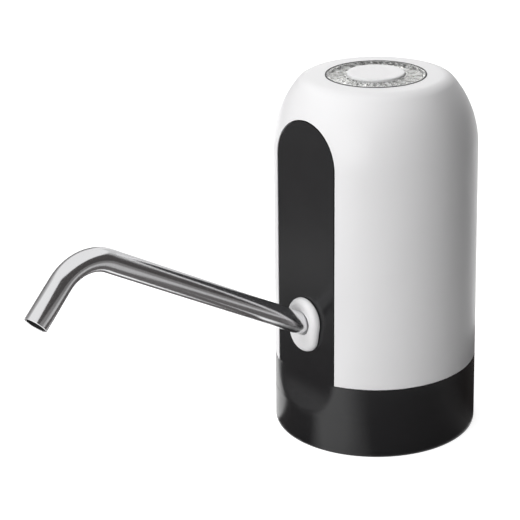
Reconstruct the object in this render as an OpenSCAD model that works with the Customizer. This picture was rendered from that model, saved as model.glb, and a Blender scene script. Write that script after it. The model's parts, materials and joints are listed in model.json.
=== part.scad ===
// Rechargeable pump that sits on the neck of a water jug.
// The origin is on the body's axis at the base rim, +Z is up and the spout points to -Y.

/* [Neck socket] */
// Radius of the rubber sleeve's bore, which slides over a 55 mm jug neck
neck_r = 27.6; // [26:0.1:30]
// Length of the rubber sleeve
sleeve_len = 20; // [14:0.5:26]
// Wall of the rubber sleeve
sleeve_wall = 1.4; // [1:0.1:2]
// Thickness of the sleeve's bottom lip
lip_t = 1.2; // [0.8:0.1:2]
// Wall of the socket that holds the sleeve
socket_wall = 1.2; // [1:0.1:2]
// Width of the groove between the socket and the skirt
groove_w = 4.4; // [4:0.1:6]
// Number of ribs across the groove
rib_count = 12; // [6:1:12]
// Thickness of a rib
rib_t = 1.4; // [1:0.1:2]

/* [Body] */
// Wall of the base skirt
skirt_wall = 2.2; // [1.8:0.1:3]
// Wall of the upper shell
shell_wall = 2.2; // [1.6:0.1:2.6]
// Inward draft of the side walls in degrees
draft_deg = 0.5; // [0.2:0.1:0.8]
// Height of the seam between base and shell
seam_z = 26.1; // [22:0.1:28]
// Radius of the large shoulder arc
shoulder_r = 36; // [32:0.5:40]
// Angle that the shoulder arc turns through
shoulder_deg = 40; // [34:1:46]
// Radius of the crown between the shoulder and the flat top
crown_r = 5.8; // [4:0.1:8]
// Thickness of the deck that closes the base
deck_t = 2.5; // [2:0.1:4]
// Wall of the spigot that the shell slides over
spigot_wall = 1.5; // [1.2:0.1:2]
// Height of the spigot above the deck
spigot_h = 5; // [3:0.5:7]

/* [Front panel] */
// Width of the window in the shell
window_w = 30; // [26:0.5:32]
// Thickness of the panel
panel_t = 2.8; // [2.2:0.1:3.4]
// Radius of the scoop at the foot of the panel
scoop_r = 26; // [20:1:32]
// Distance from the flat top down to the centre of the window's arch
arch_drop = 25.2; // [24:0.1:30]

/* [Top] */
// Height from the control board to the flat top
dome_room = 15.6; // [14.5:0.1:20]
// Outer radius of the light ring
ring_r = 17.2; // [16.5:0.1:17.6]
// Thickness of the light ring
ring_t = 3.4; // [3:0.1:4]
// Width of the light ring's flange under the shell
ring_flange_w = 1.9; // [1.5:0.1:2.2]
// Thickness of the light ring's flange
ring_flange_t = 1.6; // [1:0.1:2]
// Thickness of the gasket around the ring
gasket_w = 0.5; // [0.4:0.1:0.8]
// Radius of the button
button_r = 10.25; // [9:0.05:11]
// Height of the button above the flat top
button_proud = 0.8; // [0.6:0.1:1.5]
// Travel of the button
button_travel = 0.8; // [0.4:0.1:1]
// Width of the button's stop flange
button_flange_w = 1.3; // [0.8:0.1:1.8]
// Radius of the button's stem
button_stem_r = 2.5; // [2:0.1:3.5]

/* [Spout] */
// Outer radius of the steel tube
tube_r = 4; // [3.5:0.1:4.3]
// Wall of the steel tube
tube_wall = 0.6; // [0.4:0.1:1]
// Rise of the tube above level, in degrees
tube_rise = 29.5; // [20:0.5:35]
// Bend radius at the foot of the tube
foot_bend_r = 10; // [9:0.5:12]
// Straight length between the two bends
tube_run = 87.8; // [60:0.1:120]
// Bend radius near the tip
tip_bend_r = 15; // [12:0.5:20]
// Angle that the tip bend turns through
tip_bend_deg = 77; // [60:1:90]
// Straight length after the tip bend
tip_len = 15; // [8:0.5:25]
// Width of the collar
collar_w = 15.8; // [15:0.1:18]
// Height of the collar above the tube's axis
collar_up = 8.8; // [8.5:0.1:10]
// Depth of the collar below the tube's axis
collar_down = 11.2; // [10:0.1:11.5]
// Radius of the collar's narrow lower end
collar_low_r = 7; // [5.5:0.1:7.5]
// Thickness of the collar in front of the panel
collar_t = 2.6; // [2:0.1:3.5]
// Rounding of the collar's front edge
collar_edge = 1.8; // [1:0.1:2]
// Radius of the collar's mouth
mouth_r = 4.85; // [4.8:0.05:5.4]
// Radius of the plug behind the collar
plug_r = 6; // [5.8:0.1:6.4]
// Length of the plug behind the collar
plug_len = 10.3; // [8:0.1:12]
// Thickness of the O-ring on the plug
o_ring_t = 1; // [0.8:0.1:1.1]

/* [Water path] */
// Wall of the outlet socket
outlet_wall = 1.6; // [1.2:0.1:2.2]
// Thickness of the outlet socket's flange and floor
outlet_floor = 1.6; // [1.2:0.1:2.5]
// Radius of the inner nozzles
nozzle_r = 2.5; // [2.2:0.1:2.8]
// Radius of the passage in the inner nozzles
passage_r = 1.5; // [1:0.1:1.8]
// Wall of the inner hoses
hose_wall = 1.4; // [1:0.1:1.6]
// Bend radius of the outlet hose
hose_bend_r = 8; // [7:0.5:10]
// Length of the outlet socket's nozzle
outlet_nozzle = 6.4; // [5:0.1:7]
// Radius of the intake spigot
intake_r = 4; // [3.5:0.1:4.5]
// Radius of the intake fitting's thread
thread_r = 4.5; // [4.3:0.1:5]
// Free length of the intake spigot
intake_len = 9.5; // [7:0.5:12]
// Radius of the passage in the intake spigot
intake_bore = 2.6; // [2:0.1:3]
// Width of the intake fitting's flange
intake_flange_w = 2; // [1.6:0.1:2.4]
// Thickness of the intake fitting's flange
intake_flange_t = 1.2; // [1:0.1:1.6]
// Height of the intake nut
nut_h = 2.5; // [2:0.1:3.5]
// Thickness of the intake washer
washer_t = 1; // [0.8:0.1:1.4]

/* [Pump] */
// Place of the pump axis left of the body axis
pump_left = 9; // [8.5:0.1:9.5]
// Place of the pump axis behind the body axis
pump_back = 6; // [5.5:0.1:6.5]
// Radius of the pump
pump_r = 13.5; // [13.2:0.1:14]
// Height of the pump above the deck
pump_lift = 8; // [7.5:0.1:10]
// Height of the pump cover
cover_h = 7; // [6.5:0.1:9]
// Height of the outlet above the foot of the pump
outlet_rise = 3.5; // [3.3:0.1:4]
// Thickness of the valve plate
valve_t = 2; // [1.5:0.1:3]
// Thickness of the diaphragm's flange
membrane_t = 1.5; // [1:0.1:2]
// Height of the pump body above the diaphragm
pump_body_h = 16.5; // [16:0.1:19]
// Wall of the pump body
pump_wall = 1.2; // [1:0.1:1.4]
// Thickness of the pump body's end plate
pump_plate = 2; // [1.5:0.1:2.4]
// Distance of each cup from the pump axis
cup_ring = 7.2; // [7:0.1:7.5]
// Outer radius of a cup
cup_r = 4.6; // [4.2:0.1:4.8]
// Wall of a cup
cup_wall = 0.7; // [0.5:0.1:0.9]
// Height of the wobble plate's pivot above the diaphragm
wobble_rise = 6.7; // [6.5:0.1:7.4]
// Tilt of the crank pin in degrees
wobble_tilt = 6; // [3:0.5:7]
// Thickness of the wobble plate
wobble_t = 1.6; // [1.4:0.1:2]
// Radius of the eccentric
hub_r = 5; // [4.5:0.1:5.6]
// Height of the eccentric above the pivot
hub_rise = 3.3; // [3.2:0.1:3.8]
// Radius of the crank pin
crank_r = 0.75; // [0.6:0.05:0.85]
// Distance of the pump screws from the pump axis
pump_screw_ring = 11.4; // [11.2:0.1:11.6]
// Depth of the pump screws in the pump body
pump_bite = 3; // [2.6:0.1:3.4]
// Radius of the inlet ports in the valve plate
inlet_port_r = 0.8; // [0.6:0.1:1]
// Distance of the inlet ports outwards from the middle of the cups
inlet_port_out = 1.4; // [1.2:0.1:1.6]
// Radius of the outlet ports in the valve plate
outlet_port_r = 0.6; // [0.4:0.1:0.7]
// Radius of the inlet flaps
flap_r = 1.9; // [1.6:0.1:2.1]
// Thickness of the valve flaps
flap_t = 0.5; // [0.3:0.1:0.6]
// Radius of the outlet flap's stem
flap_stem_r = 1; // [0.8:0.1:1.2]
// Radius of the head on the outlet flap's stem
flap_head_r = 1.6; // [1.4:0.1:1.8]
// Radius of the outlet chamber
outlet_chamber_r = 5; // [4.8:0.1:5.2]
// Radius of the middle of the wobble plate
wobble_hub_r = 4.2; // [3.8:0.1:4.6]
// Radius of the wobble plate's pads
wobble_pad_r = 3; // [2.6:0.1:3.2]
// Width of the wobble plate's arms
wobble_arm_w = 4; // [3:0.1:5]
// Wall of the wobble plate's sleeve
wobble_sleeve_wall = 1.4; // [1:0.1:1.6]
// Radius of the knobs on the diaphragm
knob_r = 1.6; // [1.3:0.1:1.9]

/* [Motor] */
// Radius of the motor can
motor_r = 12.2; // [11.8:0.1:12.6]
// Length of the motor can
motor_len = 31; // [28:0.5:36]
// Wall of the motor can
can_wall = 1; // [0.8:0.1:1.2]
// Thickness of the end cap
cap_t = 2; // [1.5:0.1:3]
// Radius of the shaft
shaft_r = 1; // [0.9:0.05:1.15]
// Wall of the bearing bushes
bush_wall = 1.2; // [1:0.1:1.4]
// Radius of the armature
armature_r = 8.7; // [8:0.1:8.9]
// Length of the armature core
armature_len = 15; // [12:0.5:16]
// Thickness of the magnets
magnet_t = 1.9; // [1.5:0.1:2]
// Radius of the commutator
commutator_r = 2.6; // [2.3:0.1:3]
// Height of the terminals
terminal_h = 3; // [2:0.1:4]
// Width of the terminals
terminal_w = 2.8; // [2:0.1:3.2]
// Thickness of the terminals
terminal_t = 0.5; // [0.3:0.1:0.8]
// Distance of the terminals from the motor axis
terminal_x = 6; // [5:0.1:7]
// Radius of the armature's core between its slots
core_r = 3.5; // [3:0.1:4]
// Width of the armature's slots
core_slot = 1.8; // [1.2:0.1:2.4]
// Height of the windings beyond the core
coil_t = 2.2; // [1.5:0.1:2.4]
// Gap between the two magnets
magnet_gap = 6; // [4:0.5:8]
// Width of the brushes
brush_w = 2; // [1.5:0.1:2.4]
// Length of the brushes
brush_len = 2.4; // [2:0.1:3]

/* [Battery] */
// Place of the battery axis right of the body axis
battery_right = 19.5; // [19.2:0.1:20]
// Place of the battery axis behind the body axis
battery_back = 5; // [4:0.1:6]
// Radius of the cell
cell_r = 9.2; // [9:0.05:9.4]
// Length of the cell
cell_len = 65; // [60:0.5:68]
// Least room between the cell and the control board
battery_room = 8; // [7:0.5:10]
// Height of the long nickel tab above the cell
tab_rise = 2.8; // [2:0.1:3.5]
// Thickness of the nickel tabs
tab_t = 0.2; // [0.1:0.05:0.3]
// Width of the nickel tabs
tab_w = 4; // [3:0.5:5]

/* [Cradle] */
// Thickness of the cradle's foot
cradle_foot = 2; // [1.6:0.1:2.5]
// Wall of the cradle
cradle_wall = 1.5; // [1.2:0.1:1.7]
// Height of the cradle above the deck
cradle_h = 25; // [20:1:30]
// Thickness of the damper around the pump
damper_t = 1.4; // [1:0.1:1.5]
// Width of the ledge under the pump
ledge_w = 2.2; // [1.6:0.1:2.6]
// Thickness of the ledge under the pump
ledge_t = 2; // [1.5:0.1:3]
// Radius of each fixing tab
foot_tab_r = 2.6; // [2.4:0.1:2.8]

/* [Electronics] */
// Room between the motor's terminals and the control board
headroom = 7; // [5:0.5:12]
// Radius of the control board
board_r = 25; // [24.8:0.1:26]
// Thickness of the control board
board_t = 1.6; // [1.2:0.1:2]
// Distance of the board's bosses from the body axis
board_boss_ring = 22.4; // [22.2:0.1:22.6]
// Width of the switch
switch_w = 6; // [5.5:0.1:7]
// Height of the switch body
switch_h = 3.5; // [3:0.1:4.5]
// Radius of the switch plunger
plunger_r = 1.75; // [1.5:0.05:2]
// Height of the plunger above the switch
plunger_h = 1.9; // [1.5:0.1:2.4]
// Width of each lamp
led_w = 3; // [2.4:0.1:3.5]
// Height of each lamp
led_h = 1.4; // [1:0.1:1.8]
// Number of lamps under the light ring
led_count = 8; // [6:1:10]
// Distance of the lamps from the body axis
led_ring = 13.8; // [13:0.1:15]
// Width of the charging board
charge_w = 14; // [13.6:0.1:15]
// Length of the charging board
charge_len = 10; // [9.8:0.1:10.4]
// Height of the charging board above the deck
charge_lift = 10.4; // [8:0.1:14]
// Width of the charging socket
usb_w = 9; // [8.8:0.1:9.4]
// Height of the charging socket
usb_h = 3.2; // [3:0.1:3.5]
// Length of the charging socket
usb_len = 8; // [7.5:0.1:8.2]
// Wall of the charging socket
usb_wall = 0.3; // [0.2:0.05:0.4]
// Depth of the charging socket's mouth below the shell's surface
usb_recess = 0.8; // [0.4:0.1:1.2]
// Thickness of the charging socket's tongue
tongue_t = 0.7; // [0.5:0.1:0.9]
// Radius of the inner leads
lead_r = 0.6; // [0.4:0.05:0.8]

/* [Fasteners] */
// Shank radius of the shell, cradle and board screws
screw_r = 1.1; // [0.9:0.05:1.2]
// Head radius of those screws
screw_head_r = 2.1; // [1.9:0.05:2.2]
// Head height of those screws
screw_head_h = 1.5; // [1.2:0.1:1.6]
// Length of the shell screws
shell_screw_len = 10; // [8:0.5:12]
// Length of the shorter screws
short_screw_len = 5; // [4.5:0.1:6]
// Shank radius of the small pump, motor and socket screws
small_screw_r = 0.9; // [0.7:0.05:1]
// Head radius of the small screws
small_head_r = 1.6; // [1.4:0.05:1.7]
// Head height of the small screws
small_head_h = 1.2; // [1:0.1:1.4]

/* [Clearances] */
// Gap around pieces that are pushed together
fit_gap = 0.05; // [0.03:0.01:0.08]
// Gap around pieces that turn or slide
run_gap = 0.04; // [0.02:0.01:0.08]
// Visible gap between mouldings
panel_gap = 0.2; // [0.1:0.05:0.3]

/* [Hidden] */
$fn = 96;

eps = 0.01;
far = 100;
arc_steps = 14;
bend_swell = 0.02;
let_in = 0.2;

// Radii of the base, from the jug neck outwards
sleeve_out = neck_r + sleeve_wall;
socket_in = sleeve_out + fit_gap;
socket_out = socket_in + socket_wall;
skirt_in = socket_out + groove_w;
base_r = skirt_in + skirt_wall;
screw_ring = socket_out + groove_w / 2 - 0.4;
screw_angles = [55, 125, 235, 305];
board_angles = [90, 210, 330];
seat_depth = 0.4;
sunk = 0.5;

// Heights, from the base rim upwards
intake_tip = sleeve_len + 0.5;
deck_bot = intake_tip + intake_len + nut_h;
deck_top = deck_bot + deck_t;
pump_bot = deck_top + pump_lift;
outlet_z = pump_bot + outlet_rise;
valve_bot = pump_bot + cover_h;
membrane_bot = valve_bot + valve_t;
body_bot = membrane_bot + membrane_t;
body_top = body_bot + pump_body_h;
can_top = body_top + motor_len;
cap_top = can_top + cap_t;
cell_top = deck_top + cradle_foot + tab_t + cell_len;
board_bot = max(cap_top + terminal_h + headroom, cell_top + battery_room);
board_top = board_bot + board_t;
top_z = board_top + dome_room;
shoulder_z = top_z - crown_r * (1 - sin(shoulder_deg)) - shoulder_r * sin(shoulder_deg);
spigot_top = deck_top + spigot_h;

// Walls of the shell and the panel
slope = tan(draft_deg);
function outer_r(z) = base_r - z * slope;
spigot_out = outer_r(spigot_top) - shell_wall - fit_gap;
spigot_in = spigot_out - spigot_wall;
step_t = 2;
panel_d = sqrt(pow(base_r, 2) - pow(window_w / 2, 2));
function panel_y(z) = -(panel_d - z * slope);
panel_half = window_w / 2 - panel_gap;
arch_z = top_z - arch_drop;
shoulder_x = outer_r(shoulder_z) - shoulder_r;
crown_x = shoulder_x + (shoulder_r - crown_r) * cos(shoulder_deg);
crown_z = shoulder_z + (shoulder_r - crown_r) * sin(shoulder_deg);

// Top pieces
gasket_r = ring_r + gasket_w;
ring_bot = top_z - ring_t;
ring_in = button_r + panel_gap;
ring_flange_top = top_z - shell_wall - fit_gap;
switch_top = board_top + switch_h;
plunger_top = switch_top + plunger_h;
button_flange_top = ring_bot - fit_gap;
button_floor_t = 1.6;
button_skirt = 1.4;

// Spout and collar
collar_back = panel_y(outlet_z - collar_down) - fit_gap;
collar_front = collar_back - collar_t;
collar_top_r = collar_w / 2;
foot_y = -collar_front;
foot_tangent = foot_bend_r * tan(tube_rise / 2);
foot_start = foot_y - foot_tangent;
foot_end = [foot_y + foot_tangent * cos(tube_rise), outlet_z + foot_tangent * sin(tube_rise)];
run_end = foot_end + tube_run * [cos(tube_rise), sin(tube_rise)];
tip_centre = run_end + tip_bend_r * [sin(tube_rise), -cos(tube_rise)];
tip_deg = tube_rise - tip_bend_deg;
tip_start = tip_centre + tip_bend_r * [-sin(tip_deg), cos(tip_deg)];
plug_end = collar_back + plug_len;
tube_root = plug_end - 0.6;

// Outlet socket, behind the panel
socket_face = panel_y(outlet_z + plug_r + outlet_wall + 1) + panel_t + fit_gap;
socket_bore = plug_r + run_gap;
socket_r = socket_bore + outlet_wall;
socket_floor = plug_end + 0.5;
socket_back = socket_floor + outlet_floor;
nozzle_tip = socket_back + outlet_nozzle;
ear_x = socket_r + small_head_r + 1.2;
ear_r = small_head_r + 0.8;
ear_screw_bite = 1.8;

// Bosses and wells for the screws
shell_boss_r = screw_head_r + 0.6;
board_boss_r = screw_head_r + 0.1;
head_well_r = screw_head_r + 0.2;
hole_r = screw_r + fit_gap;
small_hole_r = small_screw_r + fit_gap;
boss_seat = deck_top - seat_depth;
head_seat = deck_bot + seat_depth;

// Pump and water path
pump_at = [-pump_left, pump_back];
hose_in = nozzle_r + fit_gap;
hose_r = hose_in + hose_wall;
outlet_aim = [0, nozzle_tip + 2.4];
outlet_reach = norm(outlet_aim - pump_at);
outlet_deg = atan2(outlet_aim[1] - pump_at[1], outlet_aim[0] - pump_at[0]);
hose_turn = outlet_deg + 90;
hose_tangent = hose_bend_r * tan(hose_turn / 2);
hose_start = pump_r + 0.4;
hose_arc_start = outlet_reach - hose_tangent;
outlet_tip = hose_arc_start - 0.3;
nipple_top = deck_top + intake_flange_t + 3;
inlet_tip = nipple_top + 0.4;
chamber_floor = outlet_rise - passage_r - 0.3;
inlet_chamber_in = 6;
inlet_chamber_out = pump_r - 1.7;
cup_pitch = 360 / 3;
cups = [for (i = [0:2]) 72 + i * cup_pitch];
pump_screws_at = [for (c = cups) c + cup_pitch / 2];
head_sink = 0.2;
cavity_r = pump_r - pump_wall;
cavity_bot = body_bot + membrane_t;
cavity_top = body_top - pump_plate;
cup_top = body_bot + 3.7;
wobble_z = body_bot + wobble_rise;
hub_bot = wobble_z + hub_rise;
hub_top = cavity_top - 0.5;
shaft_bot = hub_bot + 2.2;
crank_low = -0.2;
crank_high = hub_rise + 1.7;
knob_gap = 0.3;
motor_screw_ring = 8;

// Motor
can_in = motor_r - can_wall;
bush_r = shaft_r + run_gap + bush_wall;
boss_r = bush_r + 0.9;
boss_drop = 1.4;
plug_depth = 2;
shaft_top = cap_top + 0.8;
armature_bot = body_top + 7;
armature_top = armature_bot + armature_len;
commutator_bot = armature_top + coil_t + 0.5;
commutator_top = can_top - plug_depth - 0.5;
magnet_bot = body_top + 4;
magnet_top = armature_top + 3;
brush_strip = 0.4;

// Cradle
cradle_in = pump_r + damper_t + 2 * fit_gap;
cradle_out = cradle_in + cradle_wall;
cradle_top = deck_top + cradle_h;
cup_in = cell_r + 2 * tab_t;
cup_out = cup_in + cradle_wall;
foot_top = deck_top + cradle_foot;
tab_reach = foot_tab_r - 0.2;
battery_at = [battery_right, battery_back];
function polar(r, a) = r * [cos(a), sin(a)];
foot_tabs = [
    pump_at + polar(cradle_out + tab_reach, -98),
    pump_at + polar(cradle_out + tab_reach, 93),
    battery_at + polar(cup_out + tab_reach, -80)
];
slot_w = 2 * (hose_r + 0.6);

// Battery
cell_bot = cell_top - cell_len;
tab_top = cell_top + tab_t;
strip_deg = -90;
strip_top = cell_top + tab_rise;
pad_r = cell_r - 1.2;

// Charging socket
charge_bot = deck_top + charge_lift;
charge_top = charge_bot + board_t;
usb_z = charge_top + usb_h / 2;
usb_mouth = outer_r(usb_z) - usb_recess;
charge_y = outer_r(charge_bot) - shell_wall - 1.2;
charge_post_at = [charge_w / 2 - 2.2, charge_y - charge_len + 2.2];
charge_post_r = screw_head_r + 0.1;

// Inner leads
lead_sides = 8;
lead_bow = 1;

// Shared shapes

module disc(r, z0, z1) {
    translate([0, 0, z0]) cylinder(r = r, h = z1 - z0);
}

module tube(r_out, r_in, z0, z1) {
    difference() {
        disc(r_out, z0, z1);
        disc(r_in, z0 - eps, z1 + eps);
    }
}

module rod_y(r, y0, y1) {
    translate([0, y0, 0]) rotate([-90, 0, 0]) cylinder(r = r, h = y1 - y0);
}

module around(angles, r) {
    for (a = angles) rotate(a) translate([r, 0, 0]) children();
}

module at_pump() {
    translate([pump_at[0], pump_at[1], 0]) children();
}

module at_battery() {
    translate([battery_at[0], battery_at[1], 0]) children();
}

module on_crank() {
    at_pump() translate([0, 0, wobble_z]) rotate([0, wobble_tilt, 0]) children();
}

// A screw whose head bears on z = 0, with its shank up and a cross recess below
module screw(r, len, head_r, head_h) {
    difference() {
        union() {
            cylinder(r = r, h = len);
            translate([0, 0, -head_h]) cylinder(r = head_r, h = head_h);
        }
        for (a = [0, 90])
            rotate(a) translate([-head_r * 0.6, -head_r * 0.12, -head_h - eps])
                cube([head_r * 1.2, head_r * 0.24, head_h * 0.55]);
    }
}

// A slot with round ends, centred, drawn in the XY plane
module stadium(w, h) {
    square([w - h, h], center = true);
    for (s = [-1, 1]) translate([s * (w - h) / 2, 0]) circle(d = h);
}

// A round tube swept through a list of points with rings that follow the path
module lead(points, r) {
    n = len(points);
    function dir(i) = points[min(i + 1, n - 1)] - points[max(i - 1, 0)];
    function unit(v) = v / norm(v);
    function side(i) = unit(cross(dir(i), [0.31, 0.95, 0.05]));
    rings = [
        for (i = [0:n - 1])
            let (u = side(i), v = unit(cross(dir(i), u)))
                for (k = [0:lead_sides - 1])
                    let (a = 360 * k / lead_sides) points[i] + r * (cos(a) * u + sin(a) * v)
    ];
    walls = [
        for (i = [0:n - 2], k = [0:lead_sides - 1])
            let (a = i * lead_sides + k, b = i * lead_sides + (k + 1) % lead_sides)
                each [[a, b, b + lead_sides], [a, b + lead_sides, a + lead_sides]]
    ];
    first = [for (k = [lead_sides - 1:-1:0]) k];
    last = [for (k = [0:lead_sides - 1]) (n - 1) * lead_sides + k];
    polyhedron(points = rings, faces = concat([first], walls, [last]));
}

// Points of an arc in the section plane
function arc(c, r, a0, a1) =
    [for (i = [0:arc_steps]) let (a = a0 + (a1 - a0) * i / arc_steps) c + r * [cos(a), sin(a)]];

// Outline of the window and of the panel that fills it, drawn in the XZ plane
module arch(half, z0) {
    translate([-half, z0]) square([2 * half, arch_z - z0]);
    translate([0, arch_z]) circle(r = half);
}

// Everything that lies in front of the panel's drafted face
module front_of_panel() {
    translate([0, -panel_d, 0]) rotate([-draft_deg, 0, 0])
        translate([-far / 2, -far, -far]) cube([far, far, 3 * far]);
}

// Casing

module upper_shell() {
    color("whitesmoke") difference() {
        union() {
            rotate_extrude() polygon(concat(
                [[outer_r(seam_z), seam_z]],
                arc([shoulder_x, shoulder_z], shoulder_r, 0, shoulder_deg),
                arc([crown_x, crown_z], crown_r, shoulder_deg, 90),
                [[gasket_r, top_z], [gasket_r, top_z - shell_wall]],
                arc([crown_x, crown_z], crown_r - shell_wall, 90, shoulder_deg),
                arc([shoulder_x, shoulder_z], shoulder_r - shell_wall, shoulder_deg, 0),
                [[outer_r(seam_z) - shell_wall, seam_z]]
            ));
            around(screw_angles, screw_ring)
                disc(shell_boss_r, boss_seat + fit_gap, deck_top + shell_screw_len);
            around(board_angles, board_boss_ring)
                disc(board_boss_r, board_top, top_z - shell_wall / 2);
        }
        translate([0, -base_r + window_w / 4, 0]) rotate([90, 0, 0])
            linear_extrude(base_r) arch(window_w / 2, seam_z - 1);
        around(screw_angles, screw_ring)
            disc(hole_r, boss_seat, deck_top + shell_screw_len - 1);
        around(board_angles, board_boss_ring)
            disc(hole_r, board_top - eps, board_top + short_screw_len);
        translate([0, base_r + 1, usb_z]) rotate([90, 0, 0])
            linear_extrude(base_r / 3) stadium(usb_w + 2 * panel_gap, usb_h + 2 * panel_gap);
    }
}

module skirt() {
    difference() {
        cylinder(r1 = base_r, r2 = outer_r(seam_z), h = seam_z);
        disc(skirt_in, -eps, seam_z - step_t);
        disc(spigot_in, -eps, seam_z + eps);
    }
    for (i = [0:rib_count - 1])
        rotate((i + 0.5) * 360 / rib_count)
            translate([socket_out - eps, -rib_t / 2, lip_t])
                cube([groove_w + 2 * eps, rib_t, seam_z - step_t + sunk - lip_t]);
}

module panel() {
    translate([0, -panel_d, 0]) rotate([-draft_deg, 0, 0])
        translate([0, panel_t, 0]) rotate([90, 0, 0])
            linear_extrude(panel_t) arch(panel_half, seam_z - step_t);
    intersection() {
        difference() {
            cylinder(r1 = base_r, r2 = outer_r(seam_z), h = seam_z);
            disc(socket_out - eps, -eps, seam_z + eps);
        }
        translate([-window_w / 2 - 1, -base_r - 1, 0])
            cube([window_w + 2, base_r / 2, seam_z]);
    }
}

module base_housing() {
    color("#1c1c1e") difference() {
        union() {
            skirt();
            panel();
            tube(spigot_out, spigot_in, seam_z - step_t + sunk, spigot_top);
            disc(spigot_out, deck_bot, deck_top);
            tube(socket_out, socket_in, lip_t, deck_bot + eps);
            for (p = foot_tabs)
                translate([p[0], p[1], 0])
                    disc(screw_head_r, deck_top - short_screw_len, deck_top - sunk);
            for (s = [-1, 1])
                translate([s * charge_post_at[0], charge_post_at[1], 0])
                    disc(charge_post_r, deck_bot + sunk, charge_bot);
        }
        intersection() {
            front_of_panel();
            translate([-far / 2, -far, seam_z]) cube([far, far, 2 * far]);
        }
        intersection() {
            translate([0, panel_y(seam_z) - scoop_r, seam_z]) rotate([0, 90, 0])
                cylinder(r = scoop_r, h = far, center = true);
            translate([-far / 2, -far, seam_z - far]) cube([far, far, far + eps]);
        }
        translate([0, 0, outlet_z]) rod_y(plug_r + panel_gap, -base_r, -base_r / 2);
        for (s = [-1, 1])
            translate([s * ear_x, 0, outlet_z])
                rod_y(small_hole_r, socket_face - ear_screw_bite, socket_face + 1);
        around(screw_angles, screw_ring) {
            disc(head_well_r, -1, head_seat);
            disc(hole_r, -1, far);
            disc(shell_boss_r + fit_gap, boss_seat, far);
        }
        disc(thread_r + fit_gap, deck_bot - 1, deck_top + 1);
        disc(thread_r + intake_flange_w + fit_gap, deck_top - washer_t, deck_top + 1);
        for (p = foot_tabs)
            translate([p[0], p[1], 0])
                disc(hole_r, deck_top - short_screw_len + 1, deck_top + 1);
        for (s = [-1, 1])
            translate([s * charge_post_at[0], charge_post_at[1], 0])
                disc(hole_r, charge_bot - short_screw_len - 0.5, charge_bot + 1);
    }
}

module shell_screws() {
    color("silver") around(screw_angles, screw_ring) translate([0, 0, head_seat])
        screw(screw_r, deck_t + shell_screw_len - 2, screw_head_r, screw_head_h);
}

module neck_sleeve() {
    color("#3a3a3c") {
        difference() {
            union() {
                disc(socket_out - fit_gap, 0, lip_t);
                disc(sleeve_out, 0, sleeve_len);
            }
            disc(neck_r, -1, sleeve_len + 1);
        }
    }
}

// Top

module light_ring() {
    color("lightgray") difference() {
        union() {
            disc(ring_r, ring_bot, top_z);
            disc(gasket_r + ring_flange_w, ring_flange_top - ring_flange_t, ring_flange_top);
        }
        disc(ring_in, ring_bot - ring_flange_t, top_z + 1);
        disc(button_r + button_flange_w + 1, ring_bot - ring_flange_t, ring_bot);
    }
}

module ring_gasket() {
    color("#505055") tube(gasket_r - fit_gap, ring_r + fit_gap, ring_flange_top, top_z - 0.1);
}

module button_cap() {
    color("white") {
        difference() {
            union() {
                disc(button_r, button_flange_top - 1, top_z + button_proud);
                disc(button_r + button_flange_w, button_flange_top - button_floor_t, button_flange_top);
            }
            disc(button_r - button_skirt, 0, top_z + button_proud - button_floor_t);
        }
        disc(button_stem_r, plunger_top, top_z + button_proud - button_floor_t + eps);
    }
}

module control_board() {
    color("seagreen") difference() {
        disc(board_r, board_bot, board_top);
        around(board_angles, board_boss_ring) disc(hole_r, 0, far * 2);
    }
}

module board_screws() {
    color("silver") around(board_angles, board_boss_ring) translate([0, 0, board_bot])
        screw(screw_r, board_t + short_screw_len - 1, screw_head_r, screw_head_h);
}

module switch_body() {
    color("#222224") difference() {
        translate([-switch_w / 2, -switch_w / 2, board_top]) cube([switch_w, switch_w, switch_h]);
        disc(plunger_r + run_gap, board_top + 0.8, switch_top + 1);
    }
}

module switch_plunger() {
    color("gainsboro") disc(plunger_r, board_top + 0.9 + button_travel, plunger_top);
}

module leds() {
    color("ivory") for (i = [0:led_count - 1])
        rotate((i + 0.5) * 360 / led_count)
            translate([led_ring - led_w / 2, -led_w / 2, board_top]) cube([led_w, led_w, led_h]);
}

// Spout

// Cross-section of a hollow tube
module tube_section(r, wall) {
    difference() {
        circle(r);
        circle(r - wall);
    }
}

// A straight length of tube from a point, turned by an angle in the XY plane, let into its neighbours
module straight_tube(p, angle, len, r, wall, lead_in, lead_out) {
    translate([p[0], p[1], 0]) rotate([0, 90, angle]) translate([0, 0, -lead_in])
        linear_extrude(len + lead_in + lead_out) tube_section(r, wall);
}

// A bend in the XY plane about a centre, from one angle through a sweep, swollen by the forming
module bent_tube(c, bend_r, angle, sweep, r, wall) {
    translate([c[0], c[1], 0]) rotate(angle)
        rotate_extrude(angle = sweep) translate([bend_r, 0])
            tube_section(r + bend_swell, wall + 2 * bend_swell);
}

// The spout is drawn with X outwards and Y up, then turned to point along -Y
module spout_tube() {
    color("silver") rotate([90, 0, -90]) {
        straight_tube([-tube_root, outlet_z], 0, foot_start + tube_root, tube_r, tube_wall, 0, let_in);
        bent_tube([foot_start, outlet_z + foot_bend_r], foot_bend_r, -90, tube_rise, tube_r, tube_wall);
        straight_tube(foot_end, tube_rise, tube_run, tube_r, tube_wall, let_in, let_in);
        bent_tube(tip_centre, tip_bend_r, 90 + tip_deg, tip_bend_deg, tube_r, tube_wall);
        straight_tube(tip_start, tip_deg, tip_len, tube_r, tube_wall, let_in, 0);
    }
}

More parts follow.
